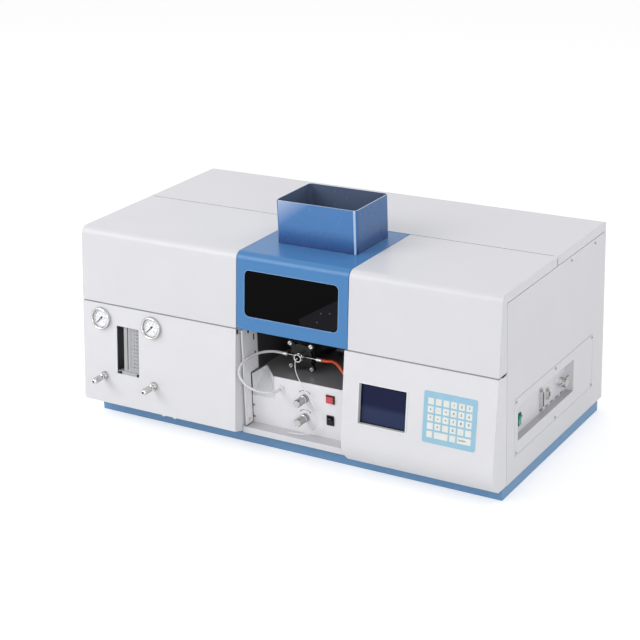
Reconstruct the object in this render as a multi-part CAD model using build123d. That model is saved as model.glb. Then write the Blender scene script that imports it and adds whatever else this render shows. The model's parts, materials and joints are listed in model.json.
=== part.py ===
from build123d import *
import math
import os

# Bench instrument with a burner bay in the middle. X runs left to right as the
# user sees it, Y runs from the front to the back and Z runs up. The origin is on
# the bench under the case. All lengths are in millimetres. A setback counts from
# the foot of the front, an inset from the nearest edge of the part that holds it.

# Flat sides of the round shapes that nothing turns in
small_sides = 12
wide_sides = 32

# Case
case_width = 1020.0
case_top = 442.0
case_bottom = 32.0
case_back = 270.0
front_reach = 284.0        # front face at its foot, ahead of the origin
front_foot = 47.0          # height of that foot
lean_share = 0.1           # how far the front leans for each unit of height
sheet = 2.0
reveal = 1.5               # dark gap between neighbouring covers
overrun = 5.0              # how far a cutter passes the face it cuts
seam_z = 278.0             # covers above, fixed panels below
seam_gap = 3.2
return_depth = 14.0        # folded top edge of the panels below the seam
seam_back = 12.0           # rear edge of the three front covers
flange_drop = 20.0         # side flange under the top edge
flange_setback = 58.0      # rear edge of the front side flanges
front_roll = 18.0
rear_roll = 6.0
hood_left = -98.5
hood_right = 171.0

# Plinth
plinth_inset_side = 7.0
plinth_inset_back = 5.0
plinth_setback = 54.0

# Base pan and bay
pan_wall = 26.0
bay_left = -92.0
bay_right = 160.0
bay_gap = 1.5              # between the left bulkhead and the parts beside it
bulkhead_sheet = 4.0
bulkhead_setback = 34.0
bulkhead_step_setback = 62.0
bulkhead_drop = 42.0
wall_hole_y = -227.0
wall_hole_z = 260.0
wall_hole_radius = 4.0
wall_slot_y = -207.0
wall_slot_z = 241.0
wall_slot_width = 6.0
wall_slot_height = 14.0
wall_screw_z = 206.0
liner_setback = 89.0
liner_inset = 27.0
shelf_z = 165.0
sill_z = 50.0
sill_setback = 27.0
sill_drop = 14.0
sill_ear = 6.5             # part of the sill that passes in front of the bulkhead
chute_right_inset = 59.0
chute_drop = 50.0
chute_reach = 56.6
chute_draft = 2.1

# Optical line, from the lamps through the flame to the monochromator
beam_inset = 98.5
beam_z = 345.0
beam_radius = 16.0
barrel_wall = 4.0
barrel_length = 24.0
lens_thickness = 4.0

# Hood and chimney
window_inset_left = 19.5
window_inset_right = 23.0
window_rise = 30.0
window_height = 99.0
window_corner = 11.0
window_lap = 9.0
glass_thickness = 3.0
hood_corner_cut = 5.0
chimney_shift = 5.25       # to the right of the hood's middle
chimney_width = 195.0
chimney_depth = 139.0
chimney_height = 94.0
chimney_corner = 10.0

# Gooseneck hinges of the three covers
hinge_setback = 16.0
hinge_depth = 12.0
hinge_pin_radius = 3.0
hinge_boss_radius = 6.0
hinge_arm_thickness = 4.0
hinge_ear_thickness = 3.0
running_gap = 0.05
side_gap = 0.5
round_gap = 0.3            # between round faces of different parts
rail_drop = 14.0
rail_height = 20.0
rail_depth = 23.0
hinge_sweep = 20.4         # lids keep no metal inside this radius of the pin
neck_drop = 22.0
neck_reach_near = 13.0
neck_reach_far = 32.0
neck_reach_lid = 46.0
neck_pad = 22.0
arm_width = 5.0
arm_sides = 8
boss_sides = 16
arm_inset = 70.0
hood_arm_inset = 27.0

# Gas panel
gas_under_setback = 44.0
gas_under_z = 34.0
end_notch_depth = 9.0
end_notch_height = 13.0
gauge_insets = (52.0, 190.0)
gauge_drop = 36.0
gauge_radius = 25.0
gauge_can_radius = 22.0
gauge_dial_radius = 20.0
gauge_rise = 9.5
gauge_chamfer = 2.8
gauge_depth = 28.0
dial_floor = 2.0
dial_thickness = 1.0
needle_length = 16.0
needle_tail = 6.0
needle_width = 1.6
needle_hub_radius = 2.2
needle_rise = 0.6
needle_thickness = 0.8
needle_rest_angle = 225.0
post_radius = 0.8
flow_inset = 123.0
flow_z = 176.0
flow_width = 60.0
flow_height = 110.0
flow_body_inset = 132.0
flow_body_z = 182.0
flow_body_width = 48.0
flow_body_height = 108.0
flow_setback = 6.0
flow_depth = 24.0
flow_end_height = 10.0
flow_block_width = 61.0
flow_bore_low = 5.2
flow_bore_high = 7.0
float_radius = 4.2
float_height = 9.0
flow_sides = 16
valve_insets = (58.0, 195.0)
valve_z = 110.0
valve_hex_radius = 9.8
valve_hex_lift = 1.4
valve_collar_radius = 8.0
valve_collar_rise = 9.0
valve_body_radius = 6.5
valve_body_depth = 30.0
valve_knob_radius = 6.8
valve_knob_length = 33.0
valve_spindle_radius = 2.5

# Bay controls
knob_x = 43.0
knob_zs = (131.0, 87.0)
knob_radius = 9.0
knob_length = 30.0
knob_collar_radius = 9.8
knob_collar_rise = 5.0
knob_bush_radius = 6.0
knob_bush_depth = 14.0
knob_spindle_radius = 3.0
knob_flats = 20
port_x = -15.5
port_z = 141.5
port_radius = 8.0
port_rise = 3.0
button_x = 106.5
button_z = 141.0
button_width = 15.7
button_height = 13.6
button_rise = 6.0
button_travel = 3.0
rocker_x = 104.8
rocker_z = 92.5
rocker_width = 12.5
rocker_height = 17.2
rocker_rise = 5.0
rocker_base = 2.0
rocker_dish_share = 0.75
rocker_tilt = 8.0
rocker_clear = 1.0
rocker_pin_radius = 1.2
rocker_pin_depth = 4.0
bezel_rim = 2.5
bezel_rise = 2.0
switch_depth = 16.0
switch_gap = 0.4

# Control panel
control_lean_share = 0.1413
belly_z = 62.0
belly_setback = 22.0
belly_low = 33.0
belly_radius = 60.0
seam_notch_length = 18.0
seam_notch_drop = 2.0
display_place_share = 0.2696
display_z = 172.5
display_width = 109.0
display_height = 85.5
display_rim = 7.0
display_setback = 10.0
display_module_depth = 20.0
display_glass_thickness = 1.5
keypad_place_share = 0.7101
keypad_z = 174.5
keypad_width = 117.0
keypad_height = 107.0
keypad_thickness = 0.8
keypad_corner = 5.0
keypad_columns = 6
keypad_rows = 5
keypad_margin_side = 7.8
keypad_margin_top = 11.3
keypad_margin_bottom = 9.9
key_gap = 3.8
key_rise = 0.5

# Right side connector plate; the reaches inside it count from the recess front
plate_inset_front = 38.0
plate_inset_back = 60.0
plate_low = 81.0
plate_high = 204.0
plate_gap = 0.9
plate_lap = 6.0
plate_sheet = 1.5
recess_inset = 15.0
recess_length = 280.0
recess_low = 110.0
recess_high = 183.0
recess_depth = 16.0
power_reach = 39.0
power_z = 138.0
power_width = 11.0
power_height = 21.7
port25_reach = 145.0
port9_reach = 177.0
ports_z = 141.0
port25_length = 48.5
port9_length = 27.5
port_flange_width = 12.5
port_flange_thickness = 1.0
port_shell_width = 8.4
port_shell_rise = 6.0
port_shell_slant = 1.6
port_lug = 7.0
inlet_reach = 245.0
inlet_z = 141.0
inlet_hex_radius = 11.0
inlet_barrel_radius = 9.0
inlet_rod_radius = 2.4
inlet_rod_length = 20.0
lever_length = 24.0
lever_thickness = 4.0
slot_count = 5
slot_length = 16.0
slot_pitch = 26.0
slot_height = 3.0
slot_reach = 151.0

# Rear panel
vent_count = 9
vent_length = 120.0
vent_height = 6.0
vent_pitch = 16.0
vent_low = 230.0
vent_place_share = 0.588
mains_inset = 90.0
mains_z = 90.0
mains_width = 48.0
mains_height = 28.0
mains_depth = 22.0
mains_rim = 4.0
mains_rise = 2.0
gas_in_insets = (70.0, 110.0)
gas_in_z = 90.0
gas_in_nut_radius = 9.0
gas_in_nut_rise = 6.0
gas_in_tail_radius = 4.5
gas_in_tail_length = 18.0

# Burner
burner_x = 7.3
burner_z = 203.6
chamber_reach = 85.5       # ahead of the optical line
chamber_length = 110.0
chamber_radius = 30.0
cap_disc_radius = 27.0
cap_bar_width = 14.0
cap_ear_radius = 7.2
cap_thickness = 6.0
cap_screw_span = 52.0
cap_screw_radius = 4.5
cap_screw_rise = 3.0
nebulizer_radius = 9.0
nebulizer_length = 9.0
nebulizer_nut_radius = 10.0
nebulizer_nut_length = 6.0
barb_standoff = 2.2
barb_radius = 1.6
ferrule_radius = 3.0
ferrule_left = (30.4, 43.6)
ferrule_right = (37.5, 53.2)
neck_radius = 14.0
neck_height = 62.0
head_length = 116.0
head_width = 34.0
head_top_width = 22.0
head_height = 30.0
burner_slot_length = 100.0
burner_slot_width = 1.2
burner_slot_depth = 14.0
bracket_thickness = 6.0
bracket_width = 190.0
bracket_height = 56.0
guide_offset = 50.0
guide_radius = 5.0
guide_boss_radius = 9.0
guide_setoff = 12.0
guide_top = 300.0
guide_bar = 12.0

# Lamp turret
turret_reach = 253.0       # to the left of the bay
turret_plate = 8.0
turret_ring = 45.0
turret_radius = 70.0
lamp_radius = 18.0
lamp_length = 130.0
lamp_base_radius = 20.0
lamp_base_length = 34.0
lamp_count = 4
lamp_sides = 16
turret_shaft_radius = 6.0
turret_shaft_reach = 26.0
stand_thickness = 10.0
stand_width = 90.0
motor_size = 56.0
motor_length = 50.0
hub_gap = 1.0

# Boxes inside the case
mono_gap_left = 35.0
mono_gap_right = 42.0
mono_gap_front = 36.0
mono_gap_back = 130.0
mono_high = 390.0
mono_wall = 5.0
mono_lid = 4.0
mono_lid_lap = 6.0
tube_box_width = 80.0
tube_box_depth = 60.0
tube_box_height = 70.0
supply_gap_left = 30.0
supply_gap_right = 58.0
supply_front = 70.0
supply_back = 240.0
supply_high = 170.0

# Screws that show
screw_radius = 3.0
screw_rise = 1.6
side_screw_ys = (84.0, 210.0)
side_screw_drop = 9.0
panel_screw_inset = 3.2
panel_screw_zs = (64.0, 91.0)

# Hoses: outer diameters, sides of their sections and hand-chosen routes
drain_diameter = 6.0
fuel_diameter = 6.5
sip_diameter = 2.0
hose_sides = 8
sip_sides = 5
drain_route = [(-36.3, -180.2, 203.6), (-48.5, -180.2, 203.6), (-61, -187.5, 205.8),
               (-74.5, -202, 207), (-84.5, -223, 206.5), (-87.4, -248, 204.2),
               (-88.2, -269, 197.5), (-85, -281.5, 187.5), (-77, -286, 174.5),
               (-64.8, -284.5, 162), (-49.5, -277, 151), (-33, -266, 144.5),
               (-20, -252.5, 142), (-15.5, -240, 141.5), (-15.5, -229, 141.5)]
fuel_route = [(60.5, -180.2, 203.6), (72, -180.2, 203.6), (84, -183.5, 207.5),
              (97, -189, 209.5), (111, -196.5, 206.8), (125, -205, 199.8), (138, -210.5, 191),
              (149, -213, 183), (160, -214, 180), (171, -214, 180)]
sip_route = [(7.3, -193, 203.6), (7.3, -200, 203.6), (10, -208.5, 196.5),
             (15.5, -216, 186.5), (24, -223, 177.5), (34, -229, 169.5), (44.5, -233, 160),
             (54, -235, 148), (63.5, -236, 135), (73.5, -237, 119.5), (81, -237.5, 104),
             (83.5, -238, 89), (80, -239, 75), (71, -240.5, 65), (57, -242, 58),
             (41, -243, 54), (24, -243, 51.8), (8, -243, 51.4)]

# Lines and planes that follow from the sizes above
lean_angle = math.degrees(math.atan(lean_share))
lean_skin = sheet * math.hypot(1, lean_share)
control_skin = sheet * math.hypot(1, control_lean_share)
half_width = case_width / 2
inner_half = half_width - sheet
lower_top = seam_z - seam_gap
flange_back = flange_setback - front_reach
pan_front = flange_back + sheet
side_front = flange_back + reveal
inner_panel_y = flange_back
inner_panel_top = shelf_z + sheet
inner_left = bay_left + bay_gap
bulkhead_front = bulkhead_setback - front_reach
bulkhead_step = bulkhead_step_setback - front_reach
bulkhead_top = case_top - bulkhead_drop
liner_front = liner_setback - front_reach
liner_back = seam_back - liner_inset
beam_y = seam_back - beam_inset
sill_front = sill_setback - front_reach
gas_under_back = gas_under_setback - front_reach
gas_right = hood_left - reveal - side_gap
belly_back = belly_setback - front_reach
control_left = bay_right + bulkhead_sheet + hub_gap
control_width = half_width - control_left
chamber_front = beam_y - chamber_reach
chamber_back = chamber_front + chamber_length
gauge_z = seam_z - gauge_drop
gauge_xs = [inset - half_width for inset in gauge_insets]
valve_xs = [inset - half_width for inset in valve_insets]
gas_in_xs = [inset - half_width for inset in gas_in_insets]
vent_xs = [side * half_width * vent_place_share for side in (-1, 1)]
left_arm_xs = [arm_inset - half_width, hood_left - arm_inset]
hood_arm_xs = [hood_left + hood_arm_inset, hood_right - hood_arm_inset]
right_arm_xs = [hood_right + arm_inset, half_width - arm_inset]


def front_y(z):
    """Front face of the leaning covers at height z."""
    return -front_reach + lean_share * (z - front_foot)


def control_y(z):
    """Front face of the control panel, which leans a little more."""
    return front_y(lower_top) - control_lean_share * (lower_top - z)


def block(x0, x1, y0, y1, z0, z1):
    centre = Pos((x0 + x1) / 2, (y0 + y1) / 2, (z0 + z1) / 2)
    return centre * Box(x1 - x0, y1 - y0, z1 - z0)


def leaning_frame(x, y, z, share):
    """Frame on a leaning face: x to the right, y up the face, z out of it."""
    return Plane(origin=(x, y, z), x_dir=(1, 0, 0), z_dir=(0, -1, share))


def gas_frame(x, z):
    return leaning_frame(x, front_y(z), z, lean_share)


def control_frame(x, z):
    return leaning_frame(x, control_y(z), z, control_lean_share)


def wall_frame(x, y, z):
    """Frame on an upright wall that faces the user."""
    return Plane(origin=(x, y, z), x_dir=(1, 0, 0), z_dir=(0, -1, 0))


def side_frame(x, y, z):
    """Frame on a wall that faces right."""
    return Plane(origin=(x, y, z), x_dir=(0, 1, 0), z_dir=(1, 0, 0))


def rear_frame(x, y, z):
    """Frame on a wall that faces backwards."""
    return Plane(origin=(x, y, z), x_dir=(-1, 0, 0), z_dir=(0, 1, 0))


def disc(frame, radius, low, high):
    return frame * Pos(0, 0, (low + high) / 2) * Cylinder(radius, high - low)


def many_sided(frame, radius, sides, low, high):
    return frame * Pos(0, 0, low) * extrude(RegularPolygon(radius, sides), high - low)


def slab(frame, width, height, low, high, corner=0.0):
    if corner > 0:
        outline = RectangleRounded(width, height, corner)
    else:
        outline = Rectangle(width, height)
    return frame * Pos(0, 0, low) * extrude(outline, high - low)


def prism(points, x0, x1, rounds=()):
    """Closed outline in Y and Z, pulled along X; rounds are (corner, radius)."""
    face = make_face(Polyline(*points, close=True))
    for corner, radius in rounds:
        y, z = points[corner]
        nearest = face.vertices().sort_by_distance((y, z, 0))[0]
        face = fillet(nearest, radius)
    return Plane.YZ.offset(x0) * extrude(face, x1 - x0)


def screw(frame, radius=screw_radius, rise=screw_rise):
    return many_sided(frame, radius, small_sides, 0, rise)


def save(name, *solids):
    """Write one node; several solids stay separate in one group."""
    parts = []
    for solid in solids:
        parts.extend(solid.solids())
    shape = parts[0] if len(parts) == 1 else Compound(children=parts)
    shape.label = name
    export_step(shape, f"parts/{name}.step")


# Covers and case

def cover(x0, x1):
    """Folded cover: leaning front, rolled edge, flat top and end flanges."""
    outer = prism([(front_y(seam_z), seam_z), (front_y(case_top), case_top),
                   (seam_back, case_top), (seam_back, case_top - flange_drop),
                   (flange_back, case_top - flange_drop), (flange_back, seam_z)],
                  x0, x1, [(1, front_roll)])
    low = seam_z - overrun
    under = case_top - sheet
    inner = prism([(front_y(low) + lean_skin, low), (front_y(under) + lean_skin, under),
                   (seam_back + overrun, under), (seam_back + overrun, low)],
                  x0 + sheet, x1 - sheet, [(1, front_roll - sheet)])
    sweep = disc(side_frame((x0 + x1) / 2, hinge_y, hinge_z), hinge_sweep, x0 - x1, x1 - x0)
    return outer - inner - sweep


def gooseneck(x):
    """Hinge arm that swings clear of the rear cover's front edge."""
    path = [(0, 0), (-neck_reach_near, -neck_drop), (-neck_reach_far, -neck_drop),
            (-neck_reach_lid, hinge_depth - sheet)]
    half = hinge_arm_thickness / 2
    pin_frame = side_frame(x, hinge_y, hinge_z)
    arm = many_sided(pin_frame, hinge_boss_radius, boss_sides, -half, half)
    for (y0, z0), (y1, z1) in zip(path, path[1:]):
        middle = Plane(origin=(x, hinge_y + (y0 + y1) / 2, hinge_z + (z0 + z1) / 2),
                       x_dir=(0, y1 - y0, z1 - z0), z_dir=(1, 0, 0))
        length = math.hypot(y1 - y0, z1 - z0)
        arm += slab(middle, length, arm_width, -half, half)
        knuckle = side_frame(x, hinge_y + y1, hinge_z + z1)
        arm += many_sided(knuckle, arm_width / 2, arm_sides, -half, half)
    pad_y = hinge_y - neck_reach_lid
    arm += block(x - half, x + half, pad_y - neck_pad, pad_y + arm_width,
                 case_top - sheet - arm_width, case_top - sheet)
    above = block(x - arm_width, x + arm_width, pad_y - neck_pad, hinge_y,
                  case_top - sheet, case_top + arm_width)
    bore = disc(pin_frame, hinge_pin_radius + running_gap, -arm_width, arm_width)
    return arm - above - bore


def hinge_ears(x):
    """Two ears on the rail, one each side of an arm, with the pin riveted in."""
    inner = hinge_arm_thickness / 2 + side_gap
    outline = [(hinge_y - hinge_boss_radius, rail_top), (hinge_y - hinge_boss_radius, hinge_z),
               (hinge_y - hinge_pin_radius, hinge_z + hinge_boss_radius),
               (hinge_y + hinge_pin_radius, hinge_z + hinge_boss_radius),
               (hinge_y + hinge_boss_radius, hinge_z), (hinge_y + hinge_boss_radius, rail_top)]
    ears = disc(side_frame(x, hinge_y, hinge_z), hinge_pin_radius, -inner, inner)
    for near in (-inner - hinge_ear_thickness, inner):
        ears += prism(outline, x + near, x + near + hinge_ear_thickness)
    return ears


hinge_y = seam_back + reveal + hinge_setback
hinge_z = case_top - hinge_depth
rail_top = hinge_z - rail_drop
rail_front = hinge_y - sheet
arm_xs = left_arm_xs + hood_arm_xs + right_arm_xs

left_lid = cover(-half_width, hood_left - reveal)
for x in left_arm_xs:
    left_lid += gooseneck(x)
right_lid = cover(hood_right + reveal, half_width)
for x in right_arm_xs:
    right_lid += gooseneck(x)

window_left = hood_left + window_inset_left
window_right = hood_right - window_inset_right
window_width = window_right - window_left
window_frame = gas_frame((window_left + window_right) / 2,
                         seam_z + window_rise + window_height / 2)
window_length = window_height * math.hypot(1, lean_share)
chimney_x = (hood_left + hood_right) / 2 + chimney_shift
chimney_frame = Plane(origin=(chimney_x, beam_y, case_top))
bore_width = chimney_width - 2 * sheet
bore_depth = chimney_depth - 2 * sheet
hood = cover(hood_left, hood_right)
hood -= slab(window_frame, window_width, window_length, -overrun, overrun, window_corner)
hood -= slab(chimney_frame, bore_width, bore_depth, -overrun, overrun)
corner_frame = wall_frame(hood_left, front_y(seam_z), seam_z)
corner_cut = make_face(Polyline((-overrun, -overrun), (hood_corner_cut + overrun, -overrun),
                                (-overrun, hood_corner_cut + overrun), close=True))
hood -= corner_frame * Pos(0, 0, -overrun) * extrude(corner_cut, 2 * overrun)
for x in hood_arm_xs:
    hood += gooseneck(x)
hood_window = slab(window_frame, window_width + window_lap * 2, window_length + window_lap * 2,
                   -sheet - glass_thickness, -sheet, window_corner)
chimney = slab(chimney_frame, chimney_width, chimney_depth, 0, chimney_height, chimney_corner)
chimney -= slab(chimney_frame, bore_width, bore_depth, -overrun, chimney_height + overrun,
                chimney_corner - sheet)

cover_front = seam_back + reveal
rear_top = block(-half_width, half_width, cover_front, case_back,
                 case_top - flange_drop, case_top)
rear_top = fillet(rear_top.edges().filter_by(Axis.X).group_by(Axis.Z)[-1].sort_by(Axis.Y)[-1],
                  rear_roll)
rear_top -= block(-inner_half, inner_half, cover_front - overrun, case_back - sheet,
                  case_top - flange_drop - overrun, case_top - sheet)

panel_top = case_top - flange_drop - reveal
plate_front = flange_back + plate_inset_front
plate_back = case_back - plate_inset_back
plate_y = (plate_front + plate_back) / 2
plate_z = (plate_low + plate_high) / 2
plate_length = plate_back - plate_front
plate_height = plate_high - plate_low
plate_frame = side_frame(half_width, plate_y, plate_z)
left_side = block(-half_width, -inner_half, side_front, case_back, case_bottom, panel_top)
right_side = block(inner_half, half_width, side_front, case_back, case_bottom, panel_top)
right_side -= slab(plate_frame, plate_length + 2 * plate_gap, plate_height + 2 * plate_gap,
                   -sheet - overrun, overrun)
rear_panel = block(-inner_half, inner_half, case_back - sheet, case_back,
                   case_bottom, panel_top)
for x in vent_xs:
    for row in range(vent_count):
        vent = rear_frame(x, case_back, vent_low + row * vent_pitch)
        rear_panel -= slab(vent, vent_length, vent_height, -sheet - overrun, overrun)
rear_panel += block(-inner_half, inner_half, case_back - 2 * sheet, case_back - sheet,
                    panel_top - flange_drop, case_top - sheet)
mains_frame = rear_frame(half_width - mains_inset, case_back, mains_z)
rear_panel -= slab(mains_frame, mains_width, mains_height, -sheet - overrun, overrun)
for x in gas_in_xs:
    rear_panel -= disc(rear_frame(x, case_back, gas_in_z), gas_in_tail_radius + round_gap,
                       -sheet - overrun, overrun)

pan = block(-inner_half, inner_half, pan_front, case_back - sheet,
            case_bottom, case_bottom + pan_wall)
pan -= block(-inner_half + sheet, inner_half - sheet, pan_front + sheet,
             case_back - 2 * sheet, case_bottom + sheet, case_bottom + pan_wall + overrun)
pan_floor = case_bottom + sheet

plinth_half = half_width - plinth_inset_side
plinth_front = plinth_setback - front_reach
plinth_back = case_back - plinth_inset_back
plinth = block(-plinth_half, plinth_half, plinth_front, plinth_back, 0, case_bottom)
plinth -= block(-plinth_half + sheet, plinth_half - sheet, plinth_front + sheet,
                plinth_back - sheet, sheet, case_bottom + overrun)

rail = block(-inner_half, inner_half, rail_front, rail_front + rail_depth,
             rail_top - rail_height, rail_top)
rail -= block(-inner_half, inner_half, rail_front + sheet, rail_front + rail_depth,
              rail_top - rail_height - overrun, rail_top - sheet)
for x in arm_xs:
    rail += hinge_ears(x)

# Burner bay

def bulkhead(x0, x1):
    wall = prism([(bulkhead_front, pan_floor), (bulkhead_front, lower_top - overrun),
                  (bulkhead_step, lower_top - overrun), (bulkhead_step, bulkhead_top),
                  (rail_front - reveal, bulkhead_top), (rail_front - reveal, pan_floor)],
                 x0, x1)
    foot_clear = block(x0 - overrun, x1 + overrun, pan_front, pan_front + sheet,
                       case_bottom, case_bottom + pan_wall)
    beam = side_frame(x0, beam_y, beam_z)
    return wall - foot_clear - many_sided(beam, beam_radius, wide_sides, -overrun,
                                          bulkhead_sheet + overrun)


left_bulkhead = bulkhead(bay_left - bulkhead_sheet, bay_left)
wall_hole = side_frame(bay_left, wall_hole_y, wall_hole_z)
left_bulkhead -= many_sided(wall_hole, wall_hole_radius, lamp_sides,
                            -bulkhead_sheet - overrun, overrun)
wall_slot = side_frame(bay_left, wall_slot_y, wall_slot_z)
left_bulkhead -= slab(wall_slot, wall_slot_width, wall_slot_height,
                      -bulkhead_sheet - overrun, overrun)
right_bulkhead = bulkhead(bay_right, bay_right + bulkhead_sheet)
fuel_x, fuel_y, fuel_z = fuel_route[-1]
right_bulkhead -= disc(side_frame(bay_right, fuel_y, fuel_z), fuel_diameter / 2 + hub_gap,
                       -overrun, bulkhead_sheet + overrun)
liner = block(bay_left, bay_right, liner_front, liner_back + sheet, shelf_z, bulkhead_top)
liner -= block(bay_left + sheet, bay_right - sheet, liner_front - overrun, liner_back,
               shelf_z - overrun, bulkhead_top + overrun)
liner -= many_sided(side_frame(0, beam_y, beam_z), beam_radius, wide_sides, -half_width,
                    half_width)

pocket_left = inner_left + sheet
pocket_right = bay_left + chute_right_inset
pocket_back = inner_panel_y + chute_reach
chute_low = shelf_z - chute_drop
plan = make_face(Polyline((pocket_left, inner_panel_y), (pocket_right, inner_panel_y),
                          (pocket_left + chute_draft, pocket_back), close=True))
profile = [(inner_panel_y, chute_low), (inner_panel_y, shelf_z + chute_drop),
           (pocket_back + chute_reach, shelf_z + chute_drop)]
pocket = Pos(0, 0, chute_low - overrun) * extrude(plan, 2 * chute_drop)
pocket = pocket & prism(profile, pocket_left - overrun, pocket_right + overrun)
chute = block(inner_left, pocket_right + sheet, inner_panel_y + sheet, pocket_back + overrun,
              chute_low - sheet, shelf_z - sheet) - pocket
shelf = block(inner_left, bay_right, inner_panel_y + sheet, liner_back,
              shelf_z - sheet, shelf_z) - pocket

inner_panel = block(inner_left, bay_right, inner_panel_y, inner_panel_y + sheet,
                    sill_z, inner_panel_top)
inner_panel -= block(inner_left - overrun, pocket_right, inner_panel_y - overrun,
                     inner_panel_y + overrun, chute_low, inner_panel_top + overrun)
for z in knob_zs:
    inner_panel -= disc(wall_frame(knob_x, inner_panel_y, z), knob_bush_radius + round_gap,
                        -overrun, overrun)
for x, z, width, height in ((button_x, button_z, button_width, button_height),
                            (rocker_x, rocker_z, rocker_width, rocker_height)):
    inner_panel -= slab(wall_frame(x, inner_panel_y, z), width + bezel_rim,
                        height + bezel_rim, -overrun, overrun)

sill_ledge = [(sill_front, sill_z - sill_drop), (sill_front, sill_z), (side_front, sill_z),
              (side_front, sill_z - sheet), (sill_front + sheet, sill_z - sheet),
              (sill_front + sheet, sill_z - sill_drop)]
sill = prism(sill_ledge, inner_left, bay_right)
ear_back = bulkhead_front - side_gap
ear = [(y if y < ear_back else ear_back, z) for y, z in sill_ledge]
sill += prism(ear, bay_left - sill_ear, inner_left)

# Gas panel on the left

gas_outer = [(front_y(lower_top), lower_top), (flange_back, lower_top),
             (flange_back, gas_under_z), (gas_under_back, gas_under_z),
             (front_y(front_foot), front_foot)]
high = lower_top + overrun
gas_inner = [(front_y(high) + lean_skin, high), (flange_back + overrun, high),
             (flange_back + overrun, gas_under_z + sheet),
             (gas_under_back, gas_under_z + sheet),
             (front_y(front_foot + sheet) + lean_skin, front_foot + sheet)]
top_edge = front_y(lower_top)
gas_panel = prism(gas_outer, -half_width, gas_right)
gas_panel -= prism(gas_inner, -inner_half, gas_right - sheet)
gas_panel += block(-inner_half, gas_right, flange_back, pan_front, gas_under_z,
                   gas_under_z + sheet)
gas_panel += block(-inner_half, gas_right - sheet, top_edge + sheet / 2,
                   top_edge + return_depth, lower_top - sheet, lower_top)
gas_panel -= block(gas_right - sheet, gas_right + overrun, top_edge + lean_skin,
                   top_edge + lean_skin + end_notch_depth, lower_top - end_notch_height,
                   lower_top + overrun)
flow_frame = gas_frame(flow_inset - half_width, flow_z)
gas_panel -= slab(flow_frame, flow_width, flow_height, -overrun, overrun)
gauge_frames = [gas_frame(x, gauge_z) for x in gauge_xs]
valve_frames = [wall_frame(x, front_y(valve_z), valve_z) for x in valve_xs]
for frame in gauge_frames:
    gas_panel -= disc(frame, gauge_can_radius + round_gap, -overrun, overrun)
for frame in valve_frames:
    gas_panel -= disc(frame, valve_collar_radius + side_gap, -overrun, overrun)


def gauge_case(frame):
    """Can behind the panel with a chamfered ring in front of it."""
    ring = extrude(RegularPolygon(gauge_radius, wide_sides), gauge_rise)
    ring = chamfer(ring.edges().group_by(Axis.Z)[-1], gauge_chamfer)
    case = frame * ring + many_sided(frame, gauge_can_radius, lamp_sides, -gauge_depth, 0)
    return case - many_sided(frame, gauge_dial_radius, wide_sides, dial_floor,
                             gauge_rise + overrun)


def gauge_dial(frame):
    dial = many_sided(frame, gauge_dial_radius - round_gap, wide_sides, dial_floor,
                      dial_floor + dial_thickness)
    return dial + disc(frame, post_radius, dial_floor, needle_top + needle_thickness)


def needle(frame):
    """Pointer turned to its rest angle, with a hub on the dial's post."""
    turned = frame * Rot(0, 0, needle_rest_angle)
    pointer = Polyline((-needle_tail, -needle_width), (needle_length, -needle_width / 4),
                       (needle_length, needle_width / 4), (-needle_tail, needle_width),
                       close=True)
    shape = turned * Pos(0, 0, needle_low) * extrude(make_face(pointer), needle_thickness)
    shape += many_sided(frame, needle_hub_radius, small_sides, needle_low,
                        needle_top + needle_thickness / 2)
    return shape - disc(frame, post_radius + running_gap, dial_floor, gauge_rise)


needle_low = dial_floor + dial_thickness + needle_rise
needle_top = needle_low + needle_thickness
glass_high = gauge_rise - glass_thickness / 4
gauge_cases = [gauge_case(frame) for frame in gauge_frames]
gauge_dials = [gauge_dial(frame) for frame in gauge_frames]
gauge_glasses = [many_sided(frame, gauge_dial_radius - round_gap, wide_sides,
                            glass_high - glass_thickness / 2, glass_high)
                 for frame in gauge_frames]
needles = [needle(frame) for frame in gauge_frames]

flow_body_x = flow_body_inset - half_width
flow_body_frame = gas_frame(flow_body_x, flow_body_z)
flow_back = -flow_setback - flow_depth
flow_body = slab(flow_body_frame, flow_body_width, flow_body_height, flow_back, -flow_setback)
bore_frame = flow_body_frame * Pos(0, -flow_body_height / 2, (flow_back - flow_setback) / 2)
bore_frame = bore_frame * Rot(-90, 0, 0)
bore = loft([bore_frame * RegularPolygon(flow_bore_low, flow_sides),
             bore_frame * Pos(0, 0, flow_body_height)
             * RegularPolygon(flow_bore_high, flow_sides)], ruled=True)
flow_body -= bore
end_shift = (flow_body_height + flow_end_height) / 2
block_shift = (flow_body_width - flow_block_width) / 2
flow_ends = [slab(flow_body_frame * Pos(0, end_shift, 0), flow_body_width, flow_end_height,
                  flow_back, -flow_setback),
             slab(flow_body_frame * Pos(block_shift, -end_shift, 0), flow_block_width,
                  flow_end_height, flow_back, -sheet)]
flow_float = many_sided(bore_frame, float_radius, flow_sides, side_gap, side_gap + float_height)


def bush(frame, collar_radius, seat, rise, body_radius, depth, spindle_radius):
    part = many_sided(frame, collar_radius, wide_sides, -seat, rise)
    part += many_sided(frame, body_radius, small_sides, -depth, -seat)
    return part - disc(frame, spindle_radius + running_gap, -depth, rise)


def turning_knob(frame, radius, length, rise, depth, spindle_radius):
    """Knurled barrel with a spindle that runs in the bush."""
    low = rise + side_gap
    grip = extrude(RegularPolygon(radius, knob_flats), length)
    grip = chamfer(grip.edges().group_by(Axis.Z)[-1], radius / knob_flats)
    spindle = disc(frame, spindle_radius, -depth, low + side_gap)
    return frame * Pos(0, 0, low) * grip + spindle


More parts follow.
